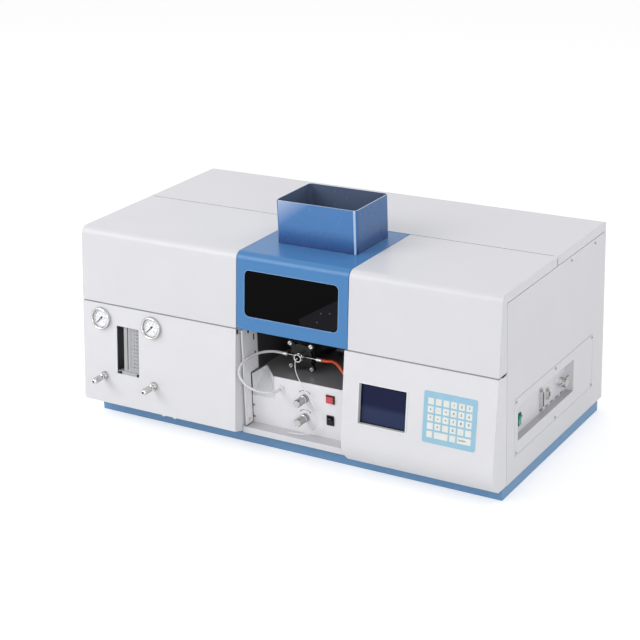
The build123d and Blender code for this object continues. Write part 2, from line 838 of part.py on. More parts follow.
def valve_body(frame):
    """Bush through the leaning panel with a hexagon nut in front."""
    body = bush(frame, valve_collar_radius, overrun, valve_collar_rise, valve_body_radius,
                valve_body_depth, valve_spindle_radius)
    nut = many_sided(frame, valve_hex_radius, 6, valve_hex_lift, valve_collar_rise)
    return body + (nut - disc(frame, valve_spindle_radius + running_gap, 0, valve_collar_rise))


valve_bodies = [valve_body(frame) for frame in valve_frames]
valve_knobs = [turning_knob(frame, valve_knob_radius, valve_knob_length, valve_collar_rise,
                            valve_body_depth - overrun, valve_spindle_radius)
               for frame in valve_frames]

# Controls in the bay

knob_frames = [wall_frame(knob_x, inner_panel_y, z) for z in knob_zs]
panel_bushes = [bush(frame, knob_collar_radius, 0, knob_collar_rise, knob_bush_radius,
                     knob_bush_depth, knob_spindle_radius) for frame in knob_frames]
port_frame = wall_frame(port_x, inner_panel_y, port_z)
panel_bushes.append(many_sided(port_frame, port_radius, wide_sides, 0, port_rise))
bay_knobs = [turning_knob(frame, knob_radius, knob_length, knob_collar_rise,
                          knob_bush_depth, knob_spindle_radius) for frame in knob_frames]


def bezel(frame, width, height, pivot=False):
    body = slab(frame, width + 2 * bezel_rim, height + 2 * bezel_rim, 0, bezel_rise)
    body += slab(frame, width + bezel_rim, height + bezel_rim, -switch_depth, 0)
    body -= slab(frame, width + 2 * switch_gap, height + 2 * switch_gap,
                 -switch_depth + bezel_rise, bezel_rise + overrun)
    if pivot:
        body -= disc(frame * Pos(0, 0, -rocker_pin_depth) * Rot(0, 90, 0),
                     rocker_pin_radius + running_gap, -width, width)
    return body


def rocker(frame, width, height):
    """Rocker cap drawn pressed in at one end, on a pin across the switch."""
    short = height / 2 - rocker_clear
    top = rocker_rise + rocker_pin_depth
    outline = make_face(Polyline((-short, -rocker_base), (short, -rocker_base), (short, top),
                                 (0, top * rocker_dish_share), (-short, top), close=True))
    cap = Plane.YZ.offset(-width / 2) * extrude(outline, width)
    pivot = frame * Pos(0, 0, -rocker_pin_depth)
    pin_half = (width + bezel_rim) / 2
    return pivot * Rot(rocker_tilt, 0, 0) * cap \
        + disc(pivot * Rot(0, 90, 0), rocker_pin_radius, -pin_half, pin_half)


recess_x = half_width - recess_depth
recess_front = plate_front + recess_inset
recess_back = recess_front + recess_length
button_frame = wall_frame(button_x, inner_panel_y, button_z)
rocker_frame = wall_frame(rocker_x, inner_panel_y, rocker_z)
power_frame = side_frame(recess_x, recess_front + power_reach, power_z)
bezels = [bezel(button_frame, button_width, button_height),
          bezel(rocker_frame, rocker_width, rocker_height, pivot=True),
          bezel(power_frame, power_width, power_height, pivot=True)]
mains = slab(mains_frame, mains_width, mains_height, -mains_depth, 0)
mains += slab(mains_frame, mains_width + 2 * mains_rim, mains_height + 2 * mains_rim,
              0, mains_rise)
mains -= slab(mains_frame, mains_width - 2 * mains_rim, mains_height - 2 * mains_rim,
              -mains_depth + mains_rim, mains_rise + overrun)
ignition_button = slab(button_frame, button_width, button_height,
                       -switch_depth + bezel_rise + button_travel + side_gap, button_rise)
burner_rocker = rocker(rocker_frame, rocker_width, rocker_height)
power_rocker = rocker(power_frame, power_width, power_height)

# Control panel on the right

control_outer = [(front_y(lower_top), lower_top), (control_y(belly_z), belly_z),
                 (belly_back, belly_low), (flange_back, belly_low),
                 (flange_back, lower_top)]
control_inner = [(control_y(high) + control_skin, high),
                 (control_y(belly_z) + control_skin, belly_z),
                 (belly_back + control_skin, belly_low + sheet),
                 (flange_back + overrun, belly_low + sheet), (flange_back + overrun, high)]
control_panel = prism(control_outer, control_left, half_width, [(1, belly_radius)])
control_panel -= prism(control_inner, control_left + sheet, inner_half,
                       [(1, belly_radius - sheet)])
control_panel += block(control_left, inner_half, flange_back, pan_front, belly_low,
                       belly_low + sheet)
control_panel += block(control_left + sheet, inner_half, top_edge + sheet / 2,
                       top_edge + return_depth, lower_top - sheet, lower_top)
control_panel -= block(inner_half, half_width + overrun, flange_back - seam_notch_length - sheet,
                       flange_back - sheet, lower_top - seam_notch_drop, lower_top + overrun)
display_frame = control_frame(control_left + control_width * display_place_share, display_z)
control_panel += slab(display_frame, display_width + 2 * sheet, display_height + 2 * sheet,
                      -display_setback, -sheet / 2)
control_panel -= slab(display_frame, display_width, display_height,
                      -display_setback - overrun, overrun)
display_module = slab(display_frame, display_width + 2 * display_rim,
                      display_height + 2 * display_rim,
                      -display_setback - display_module_depth, -display_setback)
display_glass = slab(display_frame, display_width - side_gap, display_height - side_gap,
                     -display_setback, -display_setback + display_glass_thickness)
keypad_frame = control_frame(control_left + control_width * keypad_place_share, keypad_z)
keypad = slab(keypad_frame, keypad_width, keypad_height, 0, keypad_thickness, keypad_corner)


def keypad_keys():
    """Four full rows, then a last row where two keys are double width."""
    pitch_x = (keypad_width - 2 * keypad_margin_side) / keypad_columns
    pitch_y = (keypad_height - keypad_margin_top - keypad_margin_bottom) / keypad_rows
    first_x = keypad_margin_side - keypad_width / 2
    first_y = keypad_height / 2 - keypad_margin_top
    wide_row = ((0, 1), (1, 2), (3, 1), (4, 2))
    full_row = tuple((column, 1) for column in range(keypad_columns))
    keys = []
    for row in range(keypad_rows):
        for column, span in (wide_row if row == keypad_rows - 1 else full_row):
            x = first_x + (column + span / 2) * pitch_x
            y = first_y - (row + 1 / 2) * pitch_y
            keys.append(slab(keypad_frame * Pos(x, y, 0), span * pitch_x - key_gap,
                             pitch_y - key_gap, keypad_thickness, keypad_thickness + key_rise))
    return keys


# Connector plate in the right side

recess_frame = side_frame(half_width, (recess_front + recess_back) / 2,
                          (recess_low + recess_high) / 2)
recess_height = recess_high - recess_low
plate = slab(plate_frame, plate_length, plate_height, -sheet, 0)
plate += slab(plate_frame, plate_length + 2 * plate_lap, plate_height + 2 * plate_lap,
              -sheet - plate_sheet, -sheet)
plate += slab(recess_frame, recess_length + 2 * plate_sheet, recess_height + 2 * plate_sheet,
              -recess_depth - plate_sheet, -sheet)
plate -= slab(recess_frame, recess_length, recess_height, -recess_depth, overrun)
plate -= slab(power_frame, power_width + bezel_rim, power_height + bezel_rim,
              -overrun, overrun)
for step in range(slot_count):
    slot = side_frame(recess_x, recess_front + slot_reach + step * slot_pitch,
                      recess_low + slot_height)
    plate -= slab(slot, slot_length, slot_height, -overrun, overrun)


def data_port(reach, length):
    """Flange with a D-shaped shell that is open in front."""
    frame = side_frame(recess_x, recess_front + reach, ports_z)
    port = slab(frame, port_flange_width, length, 0, port_flange_thickness)
    wide, long = port_shell_width / 2, length / 2 - port_lug
    shell = []
    for inset in (0, port_flange_thickness):
        x, y = wide - inset, long - inset
        shell.append(make_face(Polyline((-x, -y), (x, -y + port_shell_slant),
                                        (x, y - port_shell_slant), (-x, y), close=True)))
    port += frame * Pos(0, 0, port_flange_thickness) * extrude(shell[0], port_shell_rise)
    return port - frame * Pos(0, 0, 2 * port_flange_thickness) * extrude(shell[1],
                                                                         port_shell_rise)


inlet_y = recess_front + inlet_reach
inlet_frame = side_frame(recess_x, inlet_y, inlet_z)
inlet = many_sided(inlet_frame, inlet_hex_radius, 6, 0, gas_in_nut_rise)
inlet += many_sided(inlet_frame, inlet_barrel_radius, small_sides, gas_in_nut_rise, recess_depth)
rod_frame = wall_frame(recess_x + recess_depth / 2, inlet_y, inlet_z)
inlet += many_sided(rod_frame, inlet_rod_radius, small_sides, 0, inlet_rod_length)
inlet += block(half_width - 2 * lever_thickness, half_width - lever_thickness,
               inlet_y + lever_thickness, inlet_y + lever_length,
               inlet_z + lever_thickness, inlet_z + 2 * lever_thickness)
gas_fittings = [inlet]
for x in gas_in_xs:
    frame = rear_frame(x, case_back, gas_in_z)
    fitting = many_sided(frame, gas_in_nut_radius, 6, 0, gas_in_nut_rise)
    fitting += many_sided(frame, gas_in_tail_radius, small_sides, -sheet - gas_in_nut_rise,
                          gas_in_nut_rise + gas_in_tail_length)
    gas_fittings.append(fitting)

# Burner, carried on two upright rods

burner_frame = wall_frame(burner_x, chamber_front, burner_z)
chamber = many_sided(burner_frame, chamber_radius, wide_sides, -chamber_length, 0)
chamber += many_sided(burner_frame, cap_disc_radius, flow_sides, 0, cap_thickness)
half_span = cap_screw_span / 2
cap_spots = [burner_frame * Pos(x * half_span, y * half_span, 0)
             for x in (-1, 1) for y in (-1, 1)]
for turn in (45, 135):
    chamber += slab(burner_frame * Rot(0, 0, turn), half_span * math.sqrt(8), cap_bar_width,
                    0, cap_thickness)
for spot in cap_spots:
    chamber += many_sided(spot, cap_ear_radius, small_sides, 0, cap_thickness)
neck_frame = Plane(origin=(burner_x, beam_y, burner_z))
chamber += many_sided(neck_frame, neck_radius, lamp_sides, 0, neck_height)
body_top = cap_thickness + nebulizer_length
nebulizer = many_sided(burner_frame, nebulizer_radius, lamp_sides, cap_thickness, body_top)
nebulizer += many_sided(burner_frame, nebulizer_nut_radius, 6, body_top,
                        body_top + nebulizer_nut_length)
barb_y = chamber_front - cap_thickness - barb_standoff
barb_frame = side_frame(burner_x, barb_y, burner_z)
nebulizer += many_sided(barb_frame, barb_radius, small_sides, -ferrule_left[0], ferrule_right[0])
nebulizer += many_sided(barb_frame, ferrule_radius, small_sides, -ferrule_left[1],
                        -ferrule_left[0])
nebulizer += many_sided(barb_frame, ferrule_radius, small_sides, ferrule_right[0],
                        ferrule_right[1])
nebulizer -= block(burner_x - chamber_radius, burner_x + chamber_radius,
                   chamber_front - cap_thickness, chamber_front,
                   burner_z - chamber_radius, burner_z + chamber_radius)
head_plane = Plane(origin=(burner_x, beam_y, burner_z + neck_height))
head_slope = (head_width - head_top_width) / 2
head_outline = Polyline((-head_width / 2, 0), (head_width / 2, 0),
                        (head_top_width / 2, head_height), (-head_top_width / 2, head_height),
                        close=True)
head_end = side_frame(burner_x - head_length / 2, beam_y, burner_z + neck_height)
burner_head = head_end * extrude(make_face(head_outline), head_length)
burner_head -= slab(head_plane, burner_slot_length, burner_slot_width,
                    head_height - burner_slot_depth, head_height + overrun)
bracket_back = chamber_back + bracket_thickness
bracket_low = burner_z - bracket_height / 2
bracket_high = burner_z + bracket_height / 2
guide_y = bracket_back + guide_setoff
bracket = block(burner_x - bracket_width / 2, burner_x + bracket_width / 2, chamber_back,
                bracket_back, bracket_low, bracket_high)
guide_frames = [Plane(origin=(burner_x + side * guide_offset, guide_y, 0)) for side in (-1, 1)]
for frame in guide_frames:
    x = frame.origin.X
    bracket += many_sided(frame, guide_boss_radius, small_sides, bracket_low, bracket_high)
    bracket += block(x - guide_boss_radius / 2, x + guide_boss_radius / 2, bracket_back, guide_y,
                     bracket_low, bracket_high)
for frame in guide_frames:
    bracket -= disc(frame, guide_radius + running_gap, 0, case_top)
guides = [disc(frame, guide_radius, shelf_z, guide_top) for frame in guide_frames]
guide_beam = block(burner_x - guide_offset - guide_bar, burner_x + guide_offset + guide_bar,
                   guide_y - guide_bar, liner_back, guide_top, guide_top + guide_bar)
cap_screws = [screw(spot * Pos(0, 0, cap_thickness), cap_screw_radius, cap_screw_rise)
              for spot in cap_spots]

# Lamps and optics

turret_x = bay_left - turret_reach
turret_z = beam_z - turret_ring
turret_frame = side_frame(turret_x, beam_y, turret_z)
turret = many_sided(turret_frame, turret_radius, wide_sides, 0, turret_plate)
turret += disc(turret_frame, turret_shaft_radius, -turret_shaft_reach, 0)
lamps = []
for step in range(lamp_count):
    spot = turret_frame * Rot(0, 0, 90 + step * 360 / lamp_count) * Pos(turret_ring, 0, 0)
    base_high = turret_plate + lamp_base_length
    lamp = many_sided(spot, lamp_base_radius, lamp_sides, turret_plate, base_high)
    lamp += many_sided(spot, lamp_radius, lamp_sides, base_high, base_high + lamp_length)
    lamps.append(lamp)
stand_x = turret_x - hub_gap - stand_thickness
stand = block(stand_x, stand_x + stand_thickness, beam_y - stand_width / 2,
              beam_y + stand_width / 2, pan_floor, turret_z + stand_width / 2)
stand += block(stand_x - motor_size, stand_x + stand_thickness, beam_y - stand_width / 2,
               beam_y + stand_width / 2, pan_floor, pan_floor + sheet)
motor_frame = side_frame(stand_x, beam_y, turret_z)
stand += slab(motor_frame, motor_size, motor_size, -motor_length, 0)
stand -= disc(turret_frame, turret_shaft_radius + running_gap,
              -turret_shaft_reach - hub_gap, 0)


def open_box(x0, x1, y0, y1, z0, z1, wall):
    """Housing that stands on the pan, which closes it below."""
    inside = block(x0 + wall, x1 - wall, y0 + wall, y1 - wall, z0 - overrun, z1 - wall)
    return block(x0, x1, y0, y1, z0, z1) - inside


def lens_barrel(x, side):
    frame = Plane(origin=(x, beam_y, beam_z), x_dir=(0, 1, 0), z_dir=(side, 0, 0))
    barrel = many_sided(frame, beam_radius + barrel_wall, lamp_sides, 0, barrel_length)
    barrel -= many_sided(frame, beam_radius, lamp_sides, -overrun, barrel_length + overrun)
    middle = barrel_length / 2
    return barrel + many_sided(frame, beam_radius, lamp_sides, middle, middle + lens_thickness)


lens_barrels = [lens_barrel(bay_left - bulkhead_sheet, -1),
                lens_barrel(bay_right + bulkhead_sheet, 1)]
mono_left = bay_right + mono_gap_left
mono_right = half_width - mono_gap_right
mono_front = flange_back + mono_gap_front
mono_back = case_back - mono_gap_back
mono = open_box(mono_left, mono_right, mono_front, mono_back, pan_floor, mono_high, mono_wall)
mono += block(mono_left - mono_lid_lap, mono_right + mono_lid_lap, mono_front - mono_lid_lap,
              mono_back + mono_lid_lap, mono_high, mono_high + mono_lid)
detector_x = (mono_left + mono_right) / 2
detector = block(detector_x - tube_box_width / 2, detector_x + tube_box_width / 2, mono_back,
                 mono_back + tube_box_depth, mono_high - mono_lid - tube_box_height,
                 mono_high - mono_lid)
supply = open_box(supply_gap_left - half_width, bay_left - supply_gap_right, supply_front,
                  supply_back, pan_floor, supply_high, sheet)


def visible_screws():
    """Screws of the connector plate, the side, the inner panel and the bay wall."""
    spots = [side_frame(half_width, y, z)
             for y in (plate_front + plate_lap, plate_y, plate_back - plate_lap)
             for z in (plate_low + plate_lap, plate_high - plate_lap)]
    spots += [side_frame(half_width, y, panel_top - side_screw_drop) for y in side_screw_ys]
    spots += [wall_frame(inner_left + panel_screw_inset, inner_panel_y, z)
              for z in panel_screw_zs]
    spots.append(side_frame(bay_left, wall_slot_y, wall_screw_z))
    return [screw(spot) for spot in spots]


# Hoses

def hose(route, diameter, sides):
    """Straight runs joined by the largest tangent arcs that the runs allow."""
    points = [Vector(*point) for point in route]
    radii = []
    for before, corner, after in zip(points, points[1:], points[2:]):
        arrive, leave = corner - before, after - corner
        turn = math.radians(arrive.get_angle(leave))
        radii.append(0.45 * min(arrive.length, leave.length) / math.tan(turn / 2))
    print("hose radii", [round(radius) for radius in radii])
    path = FilletPolyline(*points, radius=radii)
    start = Plane(origin=points[0], z_dir=points[1] - points[0])
    step = 2 * math.pi / sides
    corner_radius = diameter / 2 * math.sqrt(step / math.sin(step))
    tube = sweep(start * RegularPolygon(corner_radius, sides), path=path)
    print("length", round(path.length, 1), "volume share",
          round(tube.volume / (path.length * math.pi * diameter ** 2 / 4), 4))
    return tube


os.makedirs("parts", exist_ok=True)
save("plinth", plinth)
save("base_pan", pan)
save("rear_panel", rear_panel)
save("left_side_panel", left_side)
save("right_side_panel", right_side)
save("rear_top_cover", rear_top)
save("hinge_rail", rail)
save("gas_panel", gas_panel)
save("gauge_cases", *gauge_cases)
save("gauge_dials", *gauge_dials)
save("gauge_glasses", *gauge_glasses)
save("left_gauge_needle", needles[0])
save("right_gauge_needle", needles[1])
save("flow_meter_body", flow_body)
save("flow_meter_ends", *flow_ends)
save("flow_float", flow_float)
save("valve_bodies", *valve_bodies)
save("left_valve_knob", valve_knobs[0])
save("right_valve_knob", valve_knobs[1])
save("bulkheads", left_bulkhead, right_bulkhead)
save("bay_liner", liner)
save("bay_shelf", shelf)
save("inner_panel", inner_panel)
save("drain_chute", chute)
save("bay_sill", sill)
save("panel_bushes", *panel_bushes)
save("height_knob", bay_knobs[0])
save("fuel_knob", bay_knobs[1])
save("black_fittings", *bezels, mains)
save("ignition_button", ignition_button)
save("burner_rocker", burner_rocker)
save("power_rocker", power_rocker)
save("control_panel", control_panel)
save("display_module", display_module)
save("display_glass", display_glass)
save("keypad", keypad)
save("keypad_keys", *keypad_keys())
save("connector_plate", plate)
save("data_ports", data_port(port25_reach, port25_length), data_port(port9_reach, port9_length))
save("gas_fittings", *gas_fittings)
save("spray_chamber", chamber)
save("nebulizer", nebulizer)
save("burner_head", burner_head)
save("burner_bracket", bracket, *cap_screws)
save("burner_guides", *guides, guide_beam)
save("lamp_turret", turret)
save("lamps", *lamps)
save("turret_stand", stand)
save("lens_barrels", *lens_barrels)
save("monochromator", mono, detector)
save("power_supply", supply)
save("left_lid", left_lid)
save("right_lid", right_lid)
save("hood", hood)
save("hood_window", hood_window)
save("chimney", chimney)
save("panel_screws", *visible_screws())
save("drain_tube", hose(drain_route, drain_diameter, hose_sides))
save("fuel_hose", hose(fuel_route, fuel_diameter, hose_sides))
save("sip_tube", hose(sip_route, sip_diameter, sip_sides))
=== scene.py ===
import json
import math

import bmesh
import bpy
from mathutils import Matrix, Vector

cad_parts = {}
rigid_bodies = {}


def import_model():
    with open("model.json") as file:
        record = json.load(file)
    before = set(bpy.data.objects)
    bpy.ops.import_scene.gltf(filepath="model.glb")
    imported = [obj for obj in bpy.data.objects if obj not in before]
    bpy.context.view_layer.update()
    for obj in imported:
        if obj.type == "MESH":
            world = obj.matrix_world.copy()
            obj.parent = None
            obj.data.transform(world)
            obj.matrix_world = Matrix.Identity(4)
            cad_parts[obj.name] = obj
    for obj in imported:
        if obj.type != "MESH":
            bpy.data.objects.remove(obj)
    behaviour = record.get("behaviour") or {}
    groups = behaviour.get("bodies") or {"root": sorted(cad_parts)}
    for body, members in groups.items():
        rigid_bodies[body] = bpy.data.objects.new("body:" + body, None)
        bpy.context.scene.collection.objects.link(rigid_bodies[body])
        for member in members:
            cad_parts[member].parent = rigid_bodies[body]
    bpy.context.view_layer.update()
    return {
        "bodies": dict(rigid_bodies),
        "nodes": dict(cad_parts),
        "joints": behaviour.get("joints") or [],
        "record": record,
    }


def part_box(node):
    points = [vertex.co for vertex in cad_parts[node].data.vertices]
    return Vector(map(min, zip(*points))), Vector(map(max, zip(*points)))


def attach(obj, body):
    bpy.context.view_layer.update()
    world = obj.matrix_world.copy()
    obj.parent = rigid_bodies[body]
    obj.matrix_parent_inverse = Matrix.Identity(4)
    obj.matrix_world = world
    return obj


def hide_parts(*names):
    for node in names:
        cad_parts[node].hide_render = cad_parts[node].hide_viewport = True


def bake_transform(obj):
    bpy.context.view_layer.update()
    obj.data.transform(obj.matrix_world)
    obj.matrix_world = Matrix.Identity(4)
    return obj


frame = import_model()
nodes = frame["nodes"]
MM = 0.001

# Sizes shared by several pieces, in millimetres

FRONT_FOOT = 47
FRONT_REACH = 284
FRONT_LEAN = 0.1
CONTROL_LEAN = 0.1413
LOWER_TOP = 274.8
SIDE_X = 510
RECESS_X = 494
BAY_LEFT = -92
INNER_PANEL_Y = -226
GAUGE_XS = (-458, -320)
GAUGE_Z = 242
VALVES = (("left_valve_knob", -452), ("right_valve_knob", -315))
VALVE_Z = 110
BAY_KNOB_X = 43
BAY_KNOBS = (("height_knob", 131), ("fuel_knob", 87))
BURNER_X = 7.3
BURNER_Z = 203.6
NEBULIZER_FRONT = -193
PORT_X = -15.5
PORT_Z = 141.5

# Camera, fitted to the corners of the case

CAMERA_ANGLES = (31.944, 21.037, -2.128)
CAMERA_PLACE = (1.75486, -2.89990, 1.52787)
CAMERA_LENS = 92.32


def make_camera():
    azimuth, elevation, roll = (math.radians(a) for a in CAMERA_ANGLES)
    back = Vector((math.sin(azimuth) * math.cos(elevation),
                   -math.cos(azimuth) * math.cos(elevation), math.sin(elevation)))
    right = (-back).cross(Vector((0, 0, 1))).normalized()
    up = right.cross(-back)
    level = math.cos(roll) * right + math.sin(roll) * up
    tilted = -math.sin(roll) * right + math.cos(roll) * up
    data = bpy.data.cameras.new("camera")
    data.lens = CAMERA_LENS
    data.sensor_width = 36
    data.clip_end = 60
    camera = bpy.data.objects.new("camera", data)
    bpy.context.scene.collection.objects.link(camera)
    matrix = Matrix((level, tilted, back)).transposed().to_4x4()
    matrix.translation = Vector(CAMERA_PLACE)
    camera.matrix_world = matrix
    bpy.context.scene.camera = camera


make_camera()


# Materials

def new_material(name):
    material = bpy.data.materials.new(name)
    material.use_nodes = True
    tree = material.node_tree
    return material, tree, tree.nodes["Principled BSDF"]


def add(tree, kind, **values):
    node = tree.nodes.new(kind)
    for key, value in values.items():
        if key in node.inputs:
            node.inputs[key].default_value = value
        else:
            setattr(node, key, value)
    return node


def object_noise(tree, scale, detail=2.0):
    where = add(tree, "ShaderNodeTexCoord")
    noise = add(tree, "ShaderNodeTexNoise", Scale=scale, Detail=detail)
    tree.links.new(where.outputs["Object"], noise.inputs["Vector"])
    return noise


def tint(tree, shader, colour, noise, spread):
    """Base colour that drifts a little around its value."""
    ramp = add(tree, "ShaderNodeValToRGB")
    for stop, share in zip(ramp.color_ramp.elements, (1 - spread, 1 + spread)):
        stop.color = [min(1, c * share) for c in colour] + [1]
    ramp.color_ramp.elements[0].position = 0.3
    ramp.color_ramp.elements[1].position = 0.7
    tree.links.new(noise.outputs["Fac"], ramp.inputs["Fac"])
    tree.links.new(ramp.outputs["Color"], shader.inputs["Base Color"])


def vary_roughness(tree, shader, noise, low, high):
    span = add(tree, "ShaderNodeMapRange")
    span.inputs["To Min"].default_value = low
    span.inputs["To Max"].default_value = high
    tree.links.new(noise.outputs["Fac"], span.inputs["Value"])
    tree.links.new(span.outputs["Result"], shader.inputs["Roughness"])


def bump(tree, shader, noise, strength, distance, edge=0.0):
    node = add(tree, "ShaderNodeBump", Strength=strength, Distance=distance)
    tree.links.new(noise.outputs["Fac"], node.inputs["Height"])
    if edge > 0:
        soft = add(tree, "ShaderNodeBevel", Radius=edge)
        soft.samples = 6
        tree.links.new(soft.outputs["Normal"], node.inputs["Normal"])
    tree.links.new(node.outputs["Normal"], shader.inputs["Normal"])


def axis_values(tree):
    """Object coordinates, split into their three axes."""
    where = add(tree, "ShaderNodeTexCoord")
    axes = add(tree, "ShaderNodeSeparateXYZ")
    tree.links.new(where.outputs["Object"], axes.inputs["Vector"])
    return axes.outputs


def maths(tree, kind, first, second):
    """Math node on two values, each a number or another node's output."""
    node = add(tree, "ShaderNodeMath", operation=kind)
    for socket, value in zip(node.inputs, (first, second)):
        if isinstance(value, (int, float)):
            socket.default_value = value
        else:
            tree.links.new(value, socket)
    return node.outputs["Value"]


def two_tone(tree, shader, mask, where_false, where_true):
    """Base colour that follows a mask of 0 or 1."""
    ramp = add(tree, "ShaderNodeValToRGB")
    ramp.color_ramp.elements[0].color = (*where_false, 1)
    ramp.color_ramp.elements[1].color = (*where_true, 1)
    tree.links.new(mask, ramp.inputs["Fac"])
    tree.links.new(ramp.outputs["Color"], shader.inputs["Base Color"])


def facing(tree, direction, share):
    """Mask of faces whose normal, on the object itself, points along a direction."""
    where = add(tree, "ShaderNodeTexCoord")
    toward = add(tree, "ShaderNodeVectorMath", operation="DOT_PRODUCT")
    toward.inputs[1].default_value = direction
    tree.links.new(where.outputs["Normal"], toward.inputs[0])
    return maths(tree, "GREATER_THAN", toward.outputs["Value"], share)


def rescale(tree, value, low, high):
    """Value mapped so that low becomes 0 and high becomes 1, and held there."""
    span = add(tree, "ShaderNodeMapRange")
    span.inputs["From Min"].default_value = low
    span.inputs["From Max"].default_value = high
    tree.links.new(value, span.inputs["Value"])
    return span.outputs["Result"]


def paint(name, colour, roughness=0.36, edge=0.0011, grain=900.0, strength=0.10, shine=0.5):
    """Powder coat: fine orange peel, slight colour drift, softened sheet edges."""
    material, tree, shader = new_material(name)
    tint(tree, shader, colour, object_noise(tree, 9.0, 3.0), 0.012)
    vary_roughness(tree, shader, object_noise(tree, 60.0), roughness - 0.04, roughness + 0.05)
    bump(tree, shader, object_noise(tree, grain), strength, 0.0002, edge)
    shader.inputs["Specular IOR Level"].default_value = shine
    return material


def blend_colours(tree, share, first, second):
    """Mix of two colours, each three numbers or another node's output."""
    node = add(tree, "ShaderNodeMix", data_type="RGBA")
    tree.links.new(share, node.inputs[0])
    for socket, value in zip(node.inputs[6:8], (first, second)):
        if isinstance(value, tuple):
            socket.default_value = (*value, 1)
        else:
            tree.links.new(value, socket)
    return node.outputs[2]


def metal(name, colour, roughness, grain=400.0, strength=0.08, edge=0.0003):
    material, tree, shader = new_material(name)
    shader.inputs["Metallic"].default_value = 1.0
    tint(tree, shader, colour, object_noise(tree, 70.0), 0.05)
    vary_roughness(tree, shader, object_noise(tree, 220.0, 4.0), roughness * 0.75,
                   roughness * 1.35)
    bump(tree, shader, object_noise(tree, grain, 4.0), strength, 0.0001, edge)
    return material


def bright_metal(name, colour, painted_edge_reflection, roughness):
    """Polished metal whose colour turns darker where its surface is seen edge on, a painted dark
    reflection.
    """
    material = metal(name, colour, roughness, strength=0.02)
    tree = material.node_tree
    # Painted reflection: darker colour toward grazing angles
    weight = add(tree, "ShaderNodeLayerWeight", Blend=0.42)
    shade = blend_colours(tree, weight.outputs["Facing"], colour, painted_edge_reflection)
    tree.links.new(shade, tree.nodes["Principled BSDF"].inputs["Base Color"])
    return material


def plastic(name, colour, roughness=0.4, grain=1500.0, strength=0.10, edge=0.0004,
            shine=0.5):
    material, tree, shader = new_material(name)
    tint(tree, shader, colour, object_noise(tree, 45.0), 0.03)
    vary_roughness(tree, shader, object_noise(tree, 120.0), roughness - 0.04,
                   roughness + 0.05)
    bump(tree, shader, object_noise(tree, grain), strength, 0.0001, edge)
    shader.inputs["Specular IOR Level"].default_value = shine
    return material


def glass(name, colour, roughness=0.03, transmission=1.0, ior=1.45):
    material, tree, shader = new_material(name)
    shader.inputs["Transmission Weight"].default_value = transmission
    shader.inputs["IOR"].default_value = ior
    tint(tree, shader, colour, object_noise(tree, 30.0), 0.01)
    vary_roughness(tree, shader, object_noise(tree, 80.0), roughness, roughness + 0.03)
    return material


